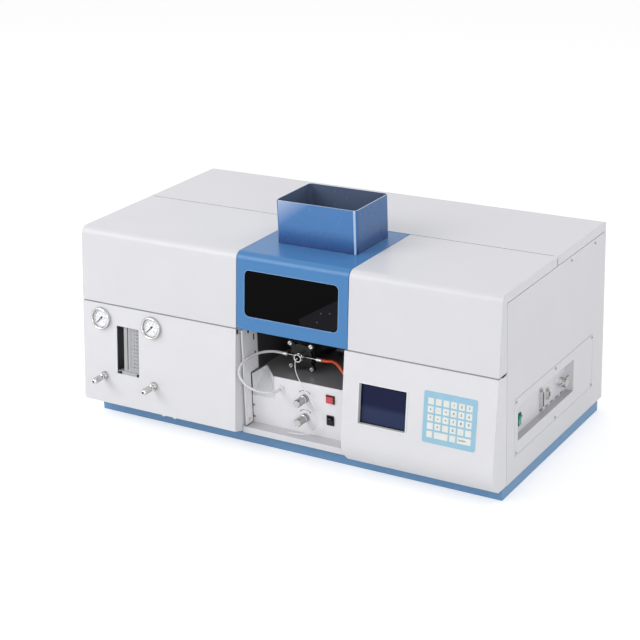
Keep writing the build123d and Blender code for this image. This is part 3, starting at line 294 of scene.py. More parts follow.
WHITE = (0.775, 0.775, 0.81)
BLUE = (0.055, 0.225, 0.515)
materials = {
    "white": paint("white_powder_coat", WHITE),
    # Lighter copy of the white coat for the front panels, painted light
    "painted_light_panel": paint("panel_powder_coat_painted_light", (0.815, 0.815, 0.85)),
    # Lighter copy of the white coat for the bay walls, painted light where they stand in shade
    "painted_light_white": paint("painted_light_powder_coat", (0.93, 0.93, 0.95)),
    "white_gloss": paint("white_gloss", (0.86, 0.86, 0.895), 0.22, strength=0.05),
    # Paler blue of the window rim, a painted highlight
    "rim_highlight_blue": paint("rim_highlight_blue", (0.24, 0.44, 0.74), 0.25, strength=0.05),
    # Grey of the painted shade in the front seams
    "seam_shade": plastic("grey_seam_shade", (0.37, 0.37, 0.38), 0.9, 300.0, 0.4, shine=0.1),
    "blue": paint("blue_powder_coat", BLUE, 0.30),
    "plinth": paint("plinth_blue", (0.165, 0.340, 0.580), 0.42),
    "black": paint("black_powder_coat", (0.045, 0.043, 0.047), 0.5, strength=0.3, shine=0.25),
    "shelf": paint("dark_grey_coat", (0.21, 0.205, 0.212), 0.4, strength=0.4),
    "housing": paint("housing_grey", (0.10, 0.10, 0.11), 0.5, strength=0.5),
    # Chrome and steel carry a painted dark reflection at their edges
    "chrome": bright_metal("chrome", (0.80, 0.79, 0.78), (0.16, 0.155, 0.15), 0.10),
    "steel": bright_metal("satin_steel", (0.58, 0.575, 0.57), (0.17, 0.165, 0.16), 0.24),
    "nickel": metal("nickel_plate", (0.74, 0.71, 0.67), 0.42),
    "alloy": metal("machined_alloy", (0.72, 0.72, 0.75), 0.32),
    "galvanised": metal("galvanised_sheet", (0.60, 0.61, 0.63), 0.42, 60.0, 0.2),
    "brass": metal("brass", (0.70, 0.50, 0.22), 0.25),
    "black_plastic": plastic("black_plastic", (0.007, 0.007, 0.008), 0.30, shine=0.3),
    "white_plastic": plastic("white_plastic", (0.87, 0.87, 0.88), 0.35),
    # Pale grey of painted highlights on the flow meter's edges
    "meter_edge_highlight": plastic("meter_edge_highlight", (0.50, 0.51, 0.51), 0.4),
    "red_plastic": plastic("red_plastic", (0.66, 0.07, 0.08), 0.25),
    "green_plastic": plastic("green_plastic", (0.025, 0.42, 0.26), 0.25),
    "dial": plastic("dial_face", (0.84, 0.85, 0.86), 0.45, strength=0.02),
    "keypad": plastic("keypad_film", (0.34, 0.60, 0.77), 0.42, 500.0, 0.15),
    "key": plastic("key_film", (0.85, 0.87, 0.83), 0.42, 500.0, 0.15),
    "gauge_glass": glass("gauge_glass", (0.98, 0.98, 0.99), 0.0, 1.0, 1.12),
    "meter_body": glass("meter_body", (0.60, 0.61, 0.62), 0.08, 0.22, 1.49),
    "lamp_glass": glass("lamp_glass", (0.90, 0.93, 0.93), 0.02),
    "tube": glass("clear_tube", (0.97, 0.97, 0.96), 0.12, 0.35, 1.38),
    "fine_tube": plastic("fine_white_tube", (0.93, 0.93, 0.92), 0.25, 300.0, 0.02),
    "hose": plastic("orange_hose", (0.80, 0.10, 0.03), 0.14, 300.0, 0.03),
    "ink": plastic("ink", (0.02, 0.02, 0.025), 0.5, strength=0.0),
    # Near-black of painted shade, for recesses, slots, bores, gaps and holes
    "painted_shade": plastic("painted_shade_black", (0.004, 0.004, 0.005), 0.7, strength=0.0, shine=0.1),
}


def shaded_floor_material(name, painted_shade_colour):
    """White coat, toned down to grey on the faces that look up: painted shade."""
    material, tree, shader = new_material(name)
    two_tone(tree, shader, facing(tree, (0, 0, 1), 0.9), WHITE, painted_shade_colour)
    vary_roughness(tree, shader, object_noise(tree, 60.0), 0.32, 0.41)
    bump(tree, shader, object_noise(tree, 900.0), 0.10, 0.0002, 0.0011)
    return material


def seamed_material():
    """White coat, painted black as shade on the flange inside the long seam."""
    material, tree, shader = new_material("white_with_seam_shade")
    inside = maths(tree, "LESS_THAN", maths(tree, "ABSOLUTE", axis_values(tree)["X"], 0), 0.500)
    # Painted shade: the flange facing into the seam turns black
    seam_shade_mask = maths(tree, "MULTIPLY", facing(tree, (0, -1, 0), 0.9), inside)
    two_tone(tree, shader, seam_shade_mask, WHITE, (0.01, 0.01, 0.01))
    vary_roughness(tree, shader, object_noise(tree, 60.0), 0.32, 0.41)
    bump(tree, shader, object_noise(tree, 900.0), 0.10, 0.0002, 0.0011)
    return material


PAINTED_REFLECTION_CORNER = (0.0537, 0.3215)


def window_material():
    """Smoked sheet with a paler painted reflection low on the right, inside slanted edges."""
    material, tree, shader = new_material("smoked_window")
    x, y, z = axis_values(tree)
    corner_x, corner_z = PAINTED_REFLECTION_CORNER
    right = maths(tree, "SUBTRACT", x, corner_x)
    above = maths(tree, "SUBTRACT", z, corner_z)
    # Painted reflection: mask of the paler corner low on the right
    mask = maths(tree, "MULTIPLY",
                 maths(tree, "LESS_THAN", above, maths(tree, "MULTIPLY", right, 0.589)),
                 maths(tree, "GREATER_THAN", right, maths(tree, "MULTIPLY", above, -0.4)))
    two_tone(tree, shader, mask, (0.0016, 0.0016, 0.0022), (0.0125, 0.012, 0.016))
    shader.inputs["Roughness"].default_value = 0.05
    shader.inputs["Specular IOR Level"].default_value = 0.035
    return material


CHIMNEY_FOOT_SHADE = (0.006, 0.052, 0.21)
CHIMNEY_BLUE = (0.031, 0.188, 0.49)
CHIMNEY_PAINTED_GLARE = (0.52, 0.61, 0.80)
CHIMNEY_RIGHT_SHADE = (0.002, 0.030, 0.12)
CHIMNEY_CORNER_HIGHLIGHT = (0.55, 0.68, 0.90)
CHIMNEY_INSIDE = (0.115, 0.155, 0.25)
CHIMNEY_RIM_HIGHLIGHT = (0.60, 0.72, 0.92)


def chimney_material():
    """Blue coat with painted light: painted shade toward its foot and on the right, a painted
    highlight patch at the front's upper left and painted highlights on its edges; slate blue on
    the inside."""
    material, tree, shader = new_material("chimney_blue")
    low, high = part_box("chimney")
    where = add(tree, "ShaderNodeTexCoord")
    outward = add(tree, "ShaderNodeVectorMath", operation="SUBTRACT")
    outward.inputs[1].default_value = [(a + b) / 2 for a, b in zip(low, high)]
    tree.links.new(where.outputs["Object"], outward.inputs[0])
    level = add(tree, "ShaderNodeVectorMath", operation="MULTIPLY")
    level.inputs[1].default_value = (1, 1, 0)
    tree.links.new(outward.outputs["Vector"], level.inputs[0])
    along = add(tree, "ShaderNodeVectorMath", operation="DOT_PRODUCT")
    tree.links.new(level.outputs["Vector"], along.inputs[0])
    tree.links.new(where.outputs["Normal"], along.inputs[1])
    inner = maths(tree, "LESS_THAN", along.outputs["Value"], -0.001)
    x, y, z = axis_values(tree)
    # Painted shade, darker toward the foot
    colour = blend_colours(tree, rescale(tree, z, low[2] + 0.002, low[2] + 0.045),
                           CHIMNEY_FOOT_SHADE, CHIMNEY_BLUE)
    # Painted highlight patch at the front's upper left
    corner = maths(tree, "SUBTRACT", z, maths(tree, "MULTIPLY", x, 0.7))
    glare = maths(tree, "MULTIPLY", facing(tree, (0, -1, 0), 0.95),
                  rescale(tree, corner, 0.512, 0.585))
    colour = blend_colours(tree, glare, colour, CHIMNEY_PAINTED_GLARE)
    # Painted shade on the right side
    side = maths(tree, "MULTIPLY", facing(tree, (1, 0, 0), 0.95), 0.38)
    colour = blend_colours(tree, side, colour, CHIMNEY_RIGHT_SHADE)
    # Painted highlight along the front corner
    colour = blend_colours(tree, facing(tree, (0.53, -0.85, 0), 0.975), colour,
                           CHIMNEY_CORNER_HIGHLIGHT)
    colour = blend_colours(tree, inner, colour, CHIMNEY_INSIDE)
    # Painted highlight on the upward faces of the rim
    colour = blend_colours(tree, facing(tree, (0, 0, 1), 0.9), colour, CHIMNEY_RIM_HIGHLIGHT)
    tree.links.new(colour, shader.inputs["Base Color"])
    vary_roughness(tree, shader, object_noise(tree, 60.0), 0.22, 0.30)
    bump(tree, shader, object_noise(tree, 900.0), 0.10, 0.0002, 0.0011)
    shader.inputs["Coat Weight"].default_value = 0.35
    shader.inputs["Coat Roughness"].default_value = 0.12
    return material


DISPLAY_REFLECTION_SPAN = (0.130, 0.215)


def display_material():
    """Navy display whose lower third is a little paler, in its own height: a painted reflection.
    """
    material, tree, shader = new_material("display_navy")
    ramp = add(tree, "ShaderNodeValToRGB")
    height = add(tree, "ShaderNodeMapRange")
    height.inputs["From Min"].default_value = DISPLAY_REFLECTION_SPAN[0]
    height.inputs["From Max"].default_value = DISPLAY_REFLECTION_SPAN[1]
    tree.links.new(axis_values(tree)["Z"], height.inputs["Value"])
    tree.links.new(height.outputs["Result"], ramp.inputs["Fac"])
    # Painted reflection: the paler colour of the lower third
    low, high = ramp.color_ramp.elements
    low.position, low.color = 0.34, (0.022, 0.036, 0.098, 1)
    high.position, high.color = 0.48, (0.006, 0.010, 0.050, 1)
    tree.links.new(ramp.outputs["Color"], shader.inputs["Base Color"])
    shader.inputs["Roughness"].default_value = 0.16
    shader.inputs["Specular IOR Level"].default_value = 0.14
    return material


materials["display"] = display_material()
materials["window"] = window_material()
materials["chimney"] = chimney_material()
materials["seamed"] = seamed_material()
# Painted shade on the upward faces of the sill and the connector recess
materials["sill"] = shaded_floor_material("sill_painted_shade", (0.60, 0.60, 0.63))
materials["recessed"] = shaded_floor_material("recess_coat", (0.46, 0.46, 0.475))
node_materials = {
    "plinth": "plinth", "base_pan": "galvanised", "rear_panel": "white",
    "left_side_panel": "white", "right_side_panel": "white", "rear_top_cover": "seamed",
    "hinge_rail": "galvanised", "gas_panel": "painted_light_panel", "gauge_cases": "chrome",
    "gauge_dials": "dial", "gauge_glasses": "gauge_glass", "flow_meter_body": "meter_body",
    "flow_meter_ends": "meter_body", "valve_bodies": "chrome", "bulkheads": "painted_light_white",
    "bay_liner": "black", "bay_shelf": "shelf", "inner_panel": "white_gloss",
    "drain_chute": "white_gloss", "bay_sill": "sill", "panel_bushes": "steel",
    "black_fittings": "black_plastic", "control_panel": "painted_light_panel",
    "display_module": "black_plastic", "display_glass": "display", "keypad": "keypad",
    "keypad_keys": "key", "connector_plate": "recessed", "data_ports": "chrome",
    "gas_fittings": "chrome", "burner_guides": "steel", "turret_stand": "alloy",
    "lens_barrels": "alloy", "monochromator": "housing", "power_supply": "galvanised",
    "panel_screws": "steel", "left_lid": "white", "right_lid": "white", "hood": "blue",
    "hood_window": "window", "chimney": "chimney", "left_valve_knob": "chrome",
    "right_valve_knob": "chrome", "height_knob": "steel", "fuel_knob": "steel",
    "ignition_button": "red_plastic", "burner_rocker": "black_plastic",
    "power_rocker": "green_plastic", "left_gauge_needle": "ink",
    "right_gauge_needle": "ink", "flow_float": "steel", "spray_chamber": "black_plastic",
    "nebulizer": "steel", "burner_head": "steel", "burner_bracket": "alloy",
    "lamp_turret": "alloy", "lamps": "lamp_glass",
}
for node, key in node_materials.items():
    mesh = nodes[node].data
    mesh.materials.clear()
    mesh.materials.append(materials[key])


# Hoses

def hose(name, node, route, diameter, key):
    """Round tube along a smooth spline."""
    curve = bpy.data.curves.new(name + "_line", "CURVE")
    curve.dimensions = "3D"
    curve.resolution_u = 8
    spline = curve.splines.new("NURBS")
    spline.points.add(len(route) - 1)
    for point, place in zip(spline.points, route):
        point.co = [value * MM for value in place] + [1]
    spline.order_u = 3
    spline.use_endpoint_u = True
    line = bpy.data.objects.new(name + "_line", curve)
    bpy.context.scene.collection.objects.link(line)
    bare = bpy.data.meshes.new_from_object(line)
    curve.bevel_depth = diameter * MM / 2
    curve.bevel_resolution = 6
    curve.use_fill_caps = True
    mesh = bpy.data.meshes.new_from_object(line)
    bpy.data.objects.remove(line)
    mesh.materials.clear()
    mesh.materials.append(materials[key])
    for face in mesh.polygons:
        face.use_smooth = True
    piece = bpy.data.objects.new(name, mesh)
    bpy.context.scene.collection.objects.link(piece)
    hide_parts(node)
    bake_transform(piece)
    return piece


DRAIN_ROUTE = [(-36.3, -180.2, 203.6), (-48.5, -180.2, 203.6), (-61, -187.5, 205.8),
               (-74.5, -202, 207), (-84.5, -223, 206.5), (-87.4, -248, 204.2),
               (-88.2, -269, 197.5), (-85, -281.5, 187.5), (-77, -286, 174.5),
               (-64.8, -284.5, 162), (-49.5, -277, 151), (-33, -266, 144.5),
               (-20, -252.5, 142), (-15.5, -240, 141.5), (-15.5, -229, 141.5)]
FUEL_ROUTE = [(60.5, -180.2, 203.6), (72, -180.2, 203.6), (84, -183.5, 207.5),
              (97, -189, 209.5), (111, -196.5, 206.8), (125, -205, 199.8), (138, -210.5, 191),
              (149, -213, 183), (160, -214, 180), (171, -214, 180)]
SIP_ROUTE = [(7.3, -193, 203.6), (7.3, -200, 203.6), (10, -208.5, 196.5),
             (15.5, -216, 186.5), (24, -223, 177.5), (34, -229, 169.5), (44.5, -233, 160),
             (54, -235, 148), (63.5, -236, 135), (73.5, -237, 119.5), (81, -237.5, 104),
             (83.5, -238, 89), (80, -239, 75), (71, -240.5, 65), (57, -242, 58),
             (41, -243, 54), (24, -243, 51.8), (8, -243, 51.4)]
hose("clear_drain_tube", "drain_tube", DRAIN_ROUTE, 6, "tube")
hose("orange_fuel_hose", "fuel_hose", FUEL_ROUTE, 6.5, "hose")
hose("thin_sip_tube", "sip_tube", SIP_ROUTE, 2, "fine_tube")


# Shapes for the fine pieces, in millimetres of a face's own frame

def face_frame(origin, right, out):
    """Matrix of a face: x to the right, y up the face, z out of it."""
    z = Vector(out).normalized()
    x = Vector(right).normalized()
    matrix = Matrix((x, z.cross(x), z)).transposed().to_4x4()
    matrix.translation = Vector(origin)
    return matrix


def front_y(z):
    return -FRONT_REACH + FRONT_LEAN * (z - FRONT_FOOT)


def control_y(z):
    return front_y(LOWER_TOP) - CONTROL_LEAN * (LOWER_TOP - z)


def gas_face(x, z):
    return face_frame((x, front_y(z), z), (1, 0, 0), (0, -1, FRONT_LEAN))


def control_face(x, z):
    return face_frame((x, control_y(z), z), (1, 0, 0), (0, -1, CONTROL_LEAN))


def wall_face(x, y, z):
    return face_frame((x, y, z), (1, 0, 0), (0, -1, 0))


def side_face(x, y, z):
    return face_frame((x, y, z), (0, 1, 0), (1, 0, 0))


def put(bm, frame, points):
    return [bm.verts.new((frame @ Vector(point)) * MM) for point in points]


def lathe(bm, frame, profile, steps=48, ripple=()):
    """Turned shape; profile is (radius, height); rippled rows are knurled."""
    rings = []
    for row, (radius, height) in enumerate(profile):
        if radius == 0:
            rings.append(put(bm, frame, [(0, 0, height)]))
            continue
        ring = []
        for step in range(steps):
            turn = 2 * math.pi * step / steps
            reach = radius * (0.955 if row in ripple and step % 2 else 1)
            ring.append((reach * math.cos(turn), reach * math.sin(turn), height))
        rings.append(put(bm, frame, ring))
    for low, high in zip(rings, rings[1:]):
        for step in range(steps):
            after = (step + 1) % steps
            corners = [low[step % len(low)], low[after % len(low)],
                       high[after % len(high)], high[step % len(high)]]
            bm.faces.new(list(dict.fromkeys(corners)))


def prism(bm, frame, outline, low, high, shrink=0.0):
    """Outline pulled from low to high; shrink draws the top edge in."""
    middle = [sum(p[i] for p in outline) / len(outline) for i in (0, 1)]
    base = put(bm, frame, [(x, y, low) for x, y in outline])
    shoulder = put(bm, frame, [(x, y, high - shrink) for x, y in outline])
    rows = [base, shoulder]
    if shrink > 0:
        top = []
        for x, y in outline:
            away = math.hypot(x - middle[0], y - middle[1])
            top.append((x - shrink * (x - middle[0]) / away,
                        y - shrink * (y - middle[1]) / away, high))
        rows.append(put(bm, frame, top))
    for below, above in zip(rows, rows[1:]):
        for i in range(len(outline)):
            j = (i + 1) % len(outline)
            bm.faces.new((below[i], below[j], above[j], above[i]))
    bm.faces.new(rows[-1])
    bm.faces.new(list(reversed(base)))


def rectangle(width, height, x=0.0, y=0.0):
    return [(x - width / 2, y - height / 2), (x + width / 2, y - height / 2),
            (x + width / 2, y + height / 2), (x - width / 2, y + height / 2)]


def round_outline(width, height, corner, x=0.0, y=0.0, steps=6):
    points = []
    for quarter, (sx, sy) in enumerate(((1, 1), (-1, 1), (-1, -1), (1, -1))):
        for step in range(steps + 1):
            turn = math.pi / 2 * (quarter + step / steps)
            points.append((x + sx * (width / 2 - corner) + corner * math.cos(turn),
                           y + sy * (height / 2 - corner) + corner * math.sin(turn)))
    return points


def ring_plate(bm, frame, outer, inner, low, high):
    """Flat ring between two outlines with the same number of points."""
    rows = [put(bm, frame, [(x, y, z) for x, y in line])
            for line, z in ((inner, low), (outer, low), (outer, high), (inner, high))]
    for below, above in zip(rows, rows[1:] + rows[:1]):
        for i in range(len(outer)):
            j = (i + 1) % len(outer)
            bm.faces.new((below[i], below[j], above[j], above[i]))


def bar(bm, frame, x0, y0, x1, y1, width, low, high):
    """Thin straight stroke between two points of a face."""
    length = math.hypot(x1 - x0, y1 - y0)
    ax, ay = -(y1 - y0) / length * width / 2, (x1 - x0) / length * width / 2
    prism(bm, frame, [(x0 - ax, y0 - ay), (x1 - ax, y1 - ay), (x1 + ax, y1 + ay),
                      (x0 + ax, y0 + ay)], low, high)


def digits(bm, frame, words, size, x, y, height):
    """Printed number, flat on the face and centred on a point."""
    curve = bpy.data.curves.new("print", "FONT")
    curve.body = words
    curve.size = size
    curve.offset = 0.018 * size
    curve.align_x = "CENTER"
    curve.align_y = "CENTER"
    holder = bpy.data.objects.new("print", curve)
    mesh = bpy.data.meshes.new_from_object(holder)
    place = frame @ Matrix.Translation((x, y, height))
    verts = [bm.verts.new((place @ vertex.co) * MM) for vertex in mesh.vertices]
    for face in mesh.polygons:
        bm.faces.new([verts[i] for i in face.vertices])
    bpy.data.objects.remove(holder)


def piece(name, bm, key, body="case", instead=None, smooth=True):
    """Finish a mesh: normals, soft shading, material and the body it rides."""
    bmesh.ops.recalc_face_normals(bm, faces=bm.faces)
    mesh = bpy.data.meshes.new(name)
    bm.to_mesh(mesh)
    bm.free()
    if smooth:
        for face in mesh.polygons:
            face.use_smooth = True
        mesh.set_sharp_from_angle(angle=math.radians(32))
    mesh.materials.append(materials[key])
    item = bpy.data.objects.new(name, mesh)
    bpy.context.scene.collection.objects.link(item)
    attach(item, body)
    if instead:
        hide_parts(instead)


# Gauges

bm = bmesh.new()
for x in GAUGE_XS:
    lathe(bm, gas_face(x, GAUGE_Z),
          [(0, -28), (21.4, -28), (22, -27.4), (22, 0.05), (24.6, 0.05), (25, 0.5), (25, 5.8),
           (24.8, 7.2), (24.2, 8.4), (23.3, 9.2), (22.3, 9.5), (21.3, 9.2), (20.5, 8.3),
           (20, 7), (20, 2), (0, 2)], 72)
piece("gauge_rings", bm, "chrome", instead="gauge_cases")

# Gauge scales

bm = bmesh.new()
for x in GAUGE_XS:
    face = gas_face(x, GAUGE_Z)
    for step in range(51):
        turn = math.radians(225 - 270 * step / 50)
        near = 13.6 if step % 5 == 0 else 15.6
        bar(bm, face, near * math.cos(turn), near * math.sin(turn), 17.6 * math.cos(turn),
            17.6 * math.sin(turn), 0.7 if step % 5 == 0 else 0.35, 3.0, 3.05)
    for step in range(6):
        turn = math.radians(225 - 54 * step)
        digits(bm, face, str(2 * step), 3.6, 10.6 * math.cos(turn), 10.6 * math.sin(turn), 3.05)
piece("gauge_print", bm, "ink", smooth=False)

# Flow meter scale, printed just in front of the body

bm = bmesh.new()
flow = gas_face(-378, 182)
INK_BACK, INK_FRONT = -5.98, -5.9
for step in range(21):
    y = -42 + step * 4.2
    bar(bm, flow, -6.5, y, 0.5 if step % 5 == 0 else -2.5, y, 0.6, INK_BACK,
        INK_FRONT)
    if step % 2 == 0:
        digits(bm, flow, str(20 - step), 4.6, 4.6, y, INK_FRONT)
        digits(bm, flow, str(10 + 5 * step), 3.8, 12.0, y, INK_FRONT)
bar(bm, flow, -13.6, -50, -13.6, 50, 2.2, INK_BACK, INK_FRONT)
bar(bm, flow, 16.2, -52, 16.2, 52, 0.5, INK_BACK, INK_FRONT)
piece("flow_meter_print", bm, "ink", smooth=False)

# Pale strips on the flow meter body, painted highlights along its edges

bm = bmesh.new()
for x, width in ((-20.5, 3.4), (-10.6, 1.6), (20.0, 5.6)):
    bar(bm, flow, x, -52, x, 52, width, INK_BACK, -5.92)
piece("flow_meter_edge_highlights", bm, "meter_edge_highlight", smooth=False)

# Screws and rods of the flow meter

bm = bmesh.new()
for x, y in ((-31.5, -59), (18, -59)):
    lathe(bm, flow @ Matrix.Translation((x, y, -2)),
          [(0, 0), (4.4, 0), (4.4, 1.2), (3.7, 1.9), (0, 1.9)], 24)
for x in (-17, 17):
    lathe(bm, flow @ Matrix.Translation((x, -54, -18)) @ Matrix.Rotation(-math.pi / 2, 4, "X"),
          [(0, 0.2), (1.6, 0.2), (1.6, 107.8), (0, 107.8)], 16)
piece("flow_meter_fixings", bm, "black_plastic")

# Knurled valve knobs, with painted shade in the end and under the collar

for name, x in VALVES:
    knob = wall_face(x, front_y(VALVE_Z), VALVE_Z)
    bm = bmesh.new()
    lathe(bm, knob,
          [(0, -25), (2.5, -25), (2.5, 9.5), (6.1, 9.5), (6.7, 10.2), (6.7, 14), (5.2, 14.8),
           (5.2, 16.4), (6.8, 17.2), (6.8, 36), (6.4, 38.0), (5.6, 40.0), (4.6, 41.6),
           (3.2, 42.4), (2.6, 42.4), (2.6, 41), (0, 41)], 72, (8, 9))
    piece("knurled_" + name, bm, "chrome", name, name)
    # Painted shade: near-black discs in the hollow end and the groove under the collar
    bm = bmesh.new()
    lathe(bm, knob, [(0, 41.1), (2.5, 41.1), (2.5, 41.2), (0, 41.2)], 24)
    lathe(bm, knob, [(5.21, 14.9), (5.4, 14.9), (5.4, 16.3), (5.21, 16.3)], 48)
    piece("recess_" + name, bm, "painted_shade", name, smooth=False)

# Knobs of the bay

for name, z in BAY_KNOBS:
    bm = bmesh.new()
    lathe(bm, wall_face(BAY_KNOB_X, INNER_PANEL_Y, z),
          [(0, -14), (3, -14), (3, 5.5), (8.4, 5.5), (9, 6.1), (9, 10), (7.4, 10.8),
           (7.4, 12.0), (8.6, 12.8), (8.6, 33), (8.4, 34.3), (7.8, 35.2), (6.8, 35.5),
           (6.4, 35.1), (0, 35.1)], 72, (4, 5))
    piece("turned_" + name, bm, "steel", name, name)

# Turning arrows printed round the bay knobs, two to a knob

ARROW_RADIUS = 18
bm = bmesh.new()
for _, z in BAY_KNOBS:
    face = wall_face(BAY_KNOB_X, INNER_PANEL_Y, z)
    for side in (-1, 1):
        turn0, turn1 = math.radians(90 - side * 4), math.radians(90 - side * 40)
        last = None
        for step in range(9):
            turn = turn0 + (turn1 - turn0) * step / 8
            spot = (ARROW_RADIUS * math.cos(turn), ARROW_RADIUS * math.sin(turn))
            if last:
                bar(bm, face, *last, *spot, 1.0, 0.02, 0.08)
            last = spot
        turn = math.radians(90 - side * 48)
        tip = (ARROW_RADIUS * math.cos(turn), ARROW_RADIUS * math.sin(turn))
        ux, uy = tip[0] - last[0], tip[1] - last[1]
        prism(bm, face, [tip, (last[0] - uy * 0.9, last[1] + ux * 0.9),
                         (last[0] + uy * 0.9, last[1] - ux * 0.9)], 0.02, 0.08)
piece("knob_arrows", bm, "ink", smooth=False)

# Turned heads of the panel screws

SCREWS = [side_face(SIDE_X, y, z) for y in (-182, 11, 204) for z in (87, 198)]
SCREWS += [side_face(SIDE_X, y, 411.5) for y in (84, 210)]
SCREWS += [wall_face(-87.3, INNER_PANEL_Y, z) for z in (64, 91)]
SCREWS.append(side_face(BAY_LEFT, -207, 206))
bm = bmesh.new()
for face in SCREWS:
    lathe(bm, face, [(0, 0), (3, 0), (3, 0.6), (2.7, 1.0), (2.1, 1.4), (0, 1.5)], 24)
piece("screw_heads", bm, "steel", instead="panel_screws")

# Crosses in the screw heads, near-black as painted shade of the recesses

bm = bmesh.new()
for face in SCREWS:
    turned = face @ Matrix.Rotation(0.6, 4, "Z")
    prism(bm, turned, rectangle(4.4, 0.8), 1.1, 1.55)
    prism(bm, turned, rectangle(0.8, 4.4), 1.1, 1.55)
piece("screw_slot_shade", bm, "painted_shade", smooth=False)

# Slots of the burner flange screws and the end of the nebulizer, near-black as painted shade

nose = wall_face(BURNER_X, NEBULIZER_FRONT, BURNER_Z)
bm = bmesh.new()
for x in (-18.7, 33.3):
    for z in (177.6, 229.6):
        face = wall_face(x, -178, z)
        prism(bm, face @ Matrix.Rotation(0.8, 4, "Z"), rectangle(7.2, 1.3), 2.7, 3.05)
lathe(bm, nose, [(0, 0.1), (2.6, 0.1), (2.6, 0.15), (0, 0.15)], 24)
piece("burner_screw_slot_shade", bm, "painted_shade", "burner", smooth=False)

# Bright washer behind the nebulizer nut and bright ring on its front

bm = bmesh.new()
lathe(bm, wall_face(BURNER_X, NEBULIZER_FRONT + 6, BURNER_Z),
      [(0, 0), (8.4, 0), (8.4, 0.2), (9.6, 0.2), (9.9, 0.9), (9.6, 1.5), (8.4, 1.6)], 48)
lathe(bm, nose, [(6.6, 0.02), (9.3, 0.02), (9.6, 0.6), (9.0, 1.3), (7.4, 1.3), (6.6, 0.6),
                 (6.6, 0.02)], 48)
piece("nebulizer_washer", bm, "chrome", "burner")

# Near-black face inside the nebulizer ring, painted shade of the bore

bm = bmesh.new()
lathe(bm, nose, [(1.3, 0.04), (6.5, 0.04), (6.5, 0.3), (1.3, 0.3)], 32)
piece("nebulizer_bore_shade", bm, "painted_shade", "burner", smooth=False)

# Ferrules between the barbs and the two hoses

bm = bmesh.new()
for x0, x1 in ((-36.2, -25.5), (47.5, 60.4)):
    lathe(bm, side_face(x0, -180.9, BURNER_Z),
          [(1.7, 0), (3.8, 0), (4.2, 0.4), (4.2, 3.4), (3.7, 3.8), (3.7, 5.0), (4.2, 5.4),
           (4.2, x1 - x0 - 0.5), (3.6, x1 - x0), (1.7, x1 - x0)], 36)
piece("hose_ferrules", bm, "nickel", "burner")

# Display frame, and a near-black border of painted shade inside its recess

bm = bmesh.new()
face = control_face(258.012, 172.5)
ring_plate(bm, face, round_outline(115, 91.5, 1.6), round_outline(109, 85.5, 0.6), 0.02, 1.1)
piece("display_frame", bm, "white_plastic", smooth=False)
# Painted shade round the edge of the recessed glass
bm = bmesh.new()
ring_plate(bm, face, rectangle(108.4, 84.9), rectangle(104.2, 80.7), -8.49, -8.3)
piece("display_border_shade", bm, "painted_shade", smooth=False)

# Keypad print

bm = bmesh.new()
pad = control_face(409.9845, 174.5)
PITCH_X, PITCH_Y = 16.9, 17.16
PRINT = ["   123", "+-=456", "^v<789", " > 0. "]
for row, line in enumerate(PRINT):
    for column, mark in enumerate(line):
        x = -50.7 + (column + 0.5) * PITCH_X
        y = 42.2 - (row + 0.5) * PITCH_Y
        if mark != " ":
            digits(bm, pad, mark, 7.2, x, y, 1.34)
digits(bm, pad, "ON/OFF", 4.6, -50.7 + 4.75 * PITCH_X, 42.2 - 4.5 * PITCH_Y, 1.34)
piece("keypad_print", bm, "ink", smooth=False)

# Mark on the burner rocker

bm = bmesh.new()
bar(bm, wall_face(104.8, -231.6, 98), -2.2, 0, 2.2, 0, 0.8, 0, 0.05)
piece("ready_mark", bm, "white_plastic", "burner_rocker", smooth=False)

# Collar round the tube port

bm = bmesh.new()
lathe(bm, wall_face(PORT_X, -229, PORT_Z),
      [(8.15, -2.9), (8.15, 0.4), (7.7, 1.1), (6.9, 1.5), (3.4, 1.5), (3.4, 0.05),
       (8.0, 0.05)], 40)
piece("port_collar", bm, "white_plastic")

# Black strips of painted shade where the inner panel and the shelf meet the bay wall

bm = bmesh.new()
gap = rectangle(1.3, 1.3, -91.25)
prism(bm, face_frame((0, -225.4, 0), (1, 0, 0), (0, 0, 1)), gap, 52, 165)
prism(bm, wall_face(0, 0, 164.6), gap, 150, 225)
prism(bm, wall_face(0, 0, 50.2), gap, 227, 254)
piece("bay_seam_shade_strips", bm, "painted_shade", smooth=False)

# Near-black sheets of painted shade behind the hole and the slot of the bay wall

HOLE_SHADE_BACK, HOLE_SHADE_FRONT = -1.2, -0.9
bm = bmesh.new()
lathe(bm, side_face(BAY_LEFT, -227, 260),
      [(0, HOLE_SHADE_BACK), (3.9, HOLE_SHADE_BACK), (3.9, HOLE_SHADE_FRONT), (0, HOLE_SHADE_FRONT)], 12)
prism(bm, side_face(BAY_LEFT, -207, 241), rectangle(5.8, 13.8), HOLE_SHADE_BACK, HOLE_SHADE_FRONT)
piece("wall_hole_shades", bm, "painted_shade", smooth=False)

# Grey strips of painted shade in the front seams, on the folded top edges of the fixed panels

bm = bmesh.new()
front = front_y(275)
for x0, x1 in ((-508, -103), (178, 508)):
    prism(bm, face_frame((0, 0, LOWER_TOP), (1, 0, 0), (0, 0, 1)),
          [(x0, front + 1.2), (x1, front + 1.2), (x1, front + 5), (x0, front + 5)], 0.02, 2.2)
piece("seam_shade_strips", bm, "seam_shade", smooth=False)

# Brass earth screw on the bay wall

bm = bmesh.new()
lathe(bm, side_face(BAY_LEFT, -240, 62), [(0, 0), (2.3, 0), (2.3, 0.8), (1.8, 1.5), (0, 1.7)], 20)
piece("earth_screw", bm, "brass")

# Sockets of the data ports on the right side

PORT_ROW_Z = 141
bm = bmesh.new()
for y, length in ((-28, 34.5), (4, 13.5)):
    face = side_face(RECESS_X, y, PORT_ROW_Z)
    prism(bm, face, [(-3.1, -length / 2 + 1.1), (3.1, -length / 2 + 2.6),
                     (3.1, length / 2 - 2.6), (-3.1, length / 2 - 1.1)], 2.0, 5.6)
piece("port_blocks", bm, "black_plastic", smooth=False)

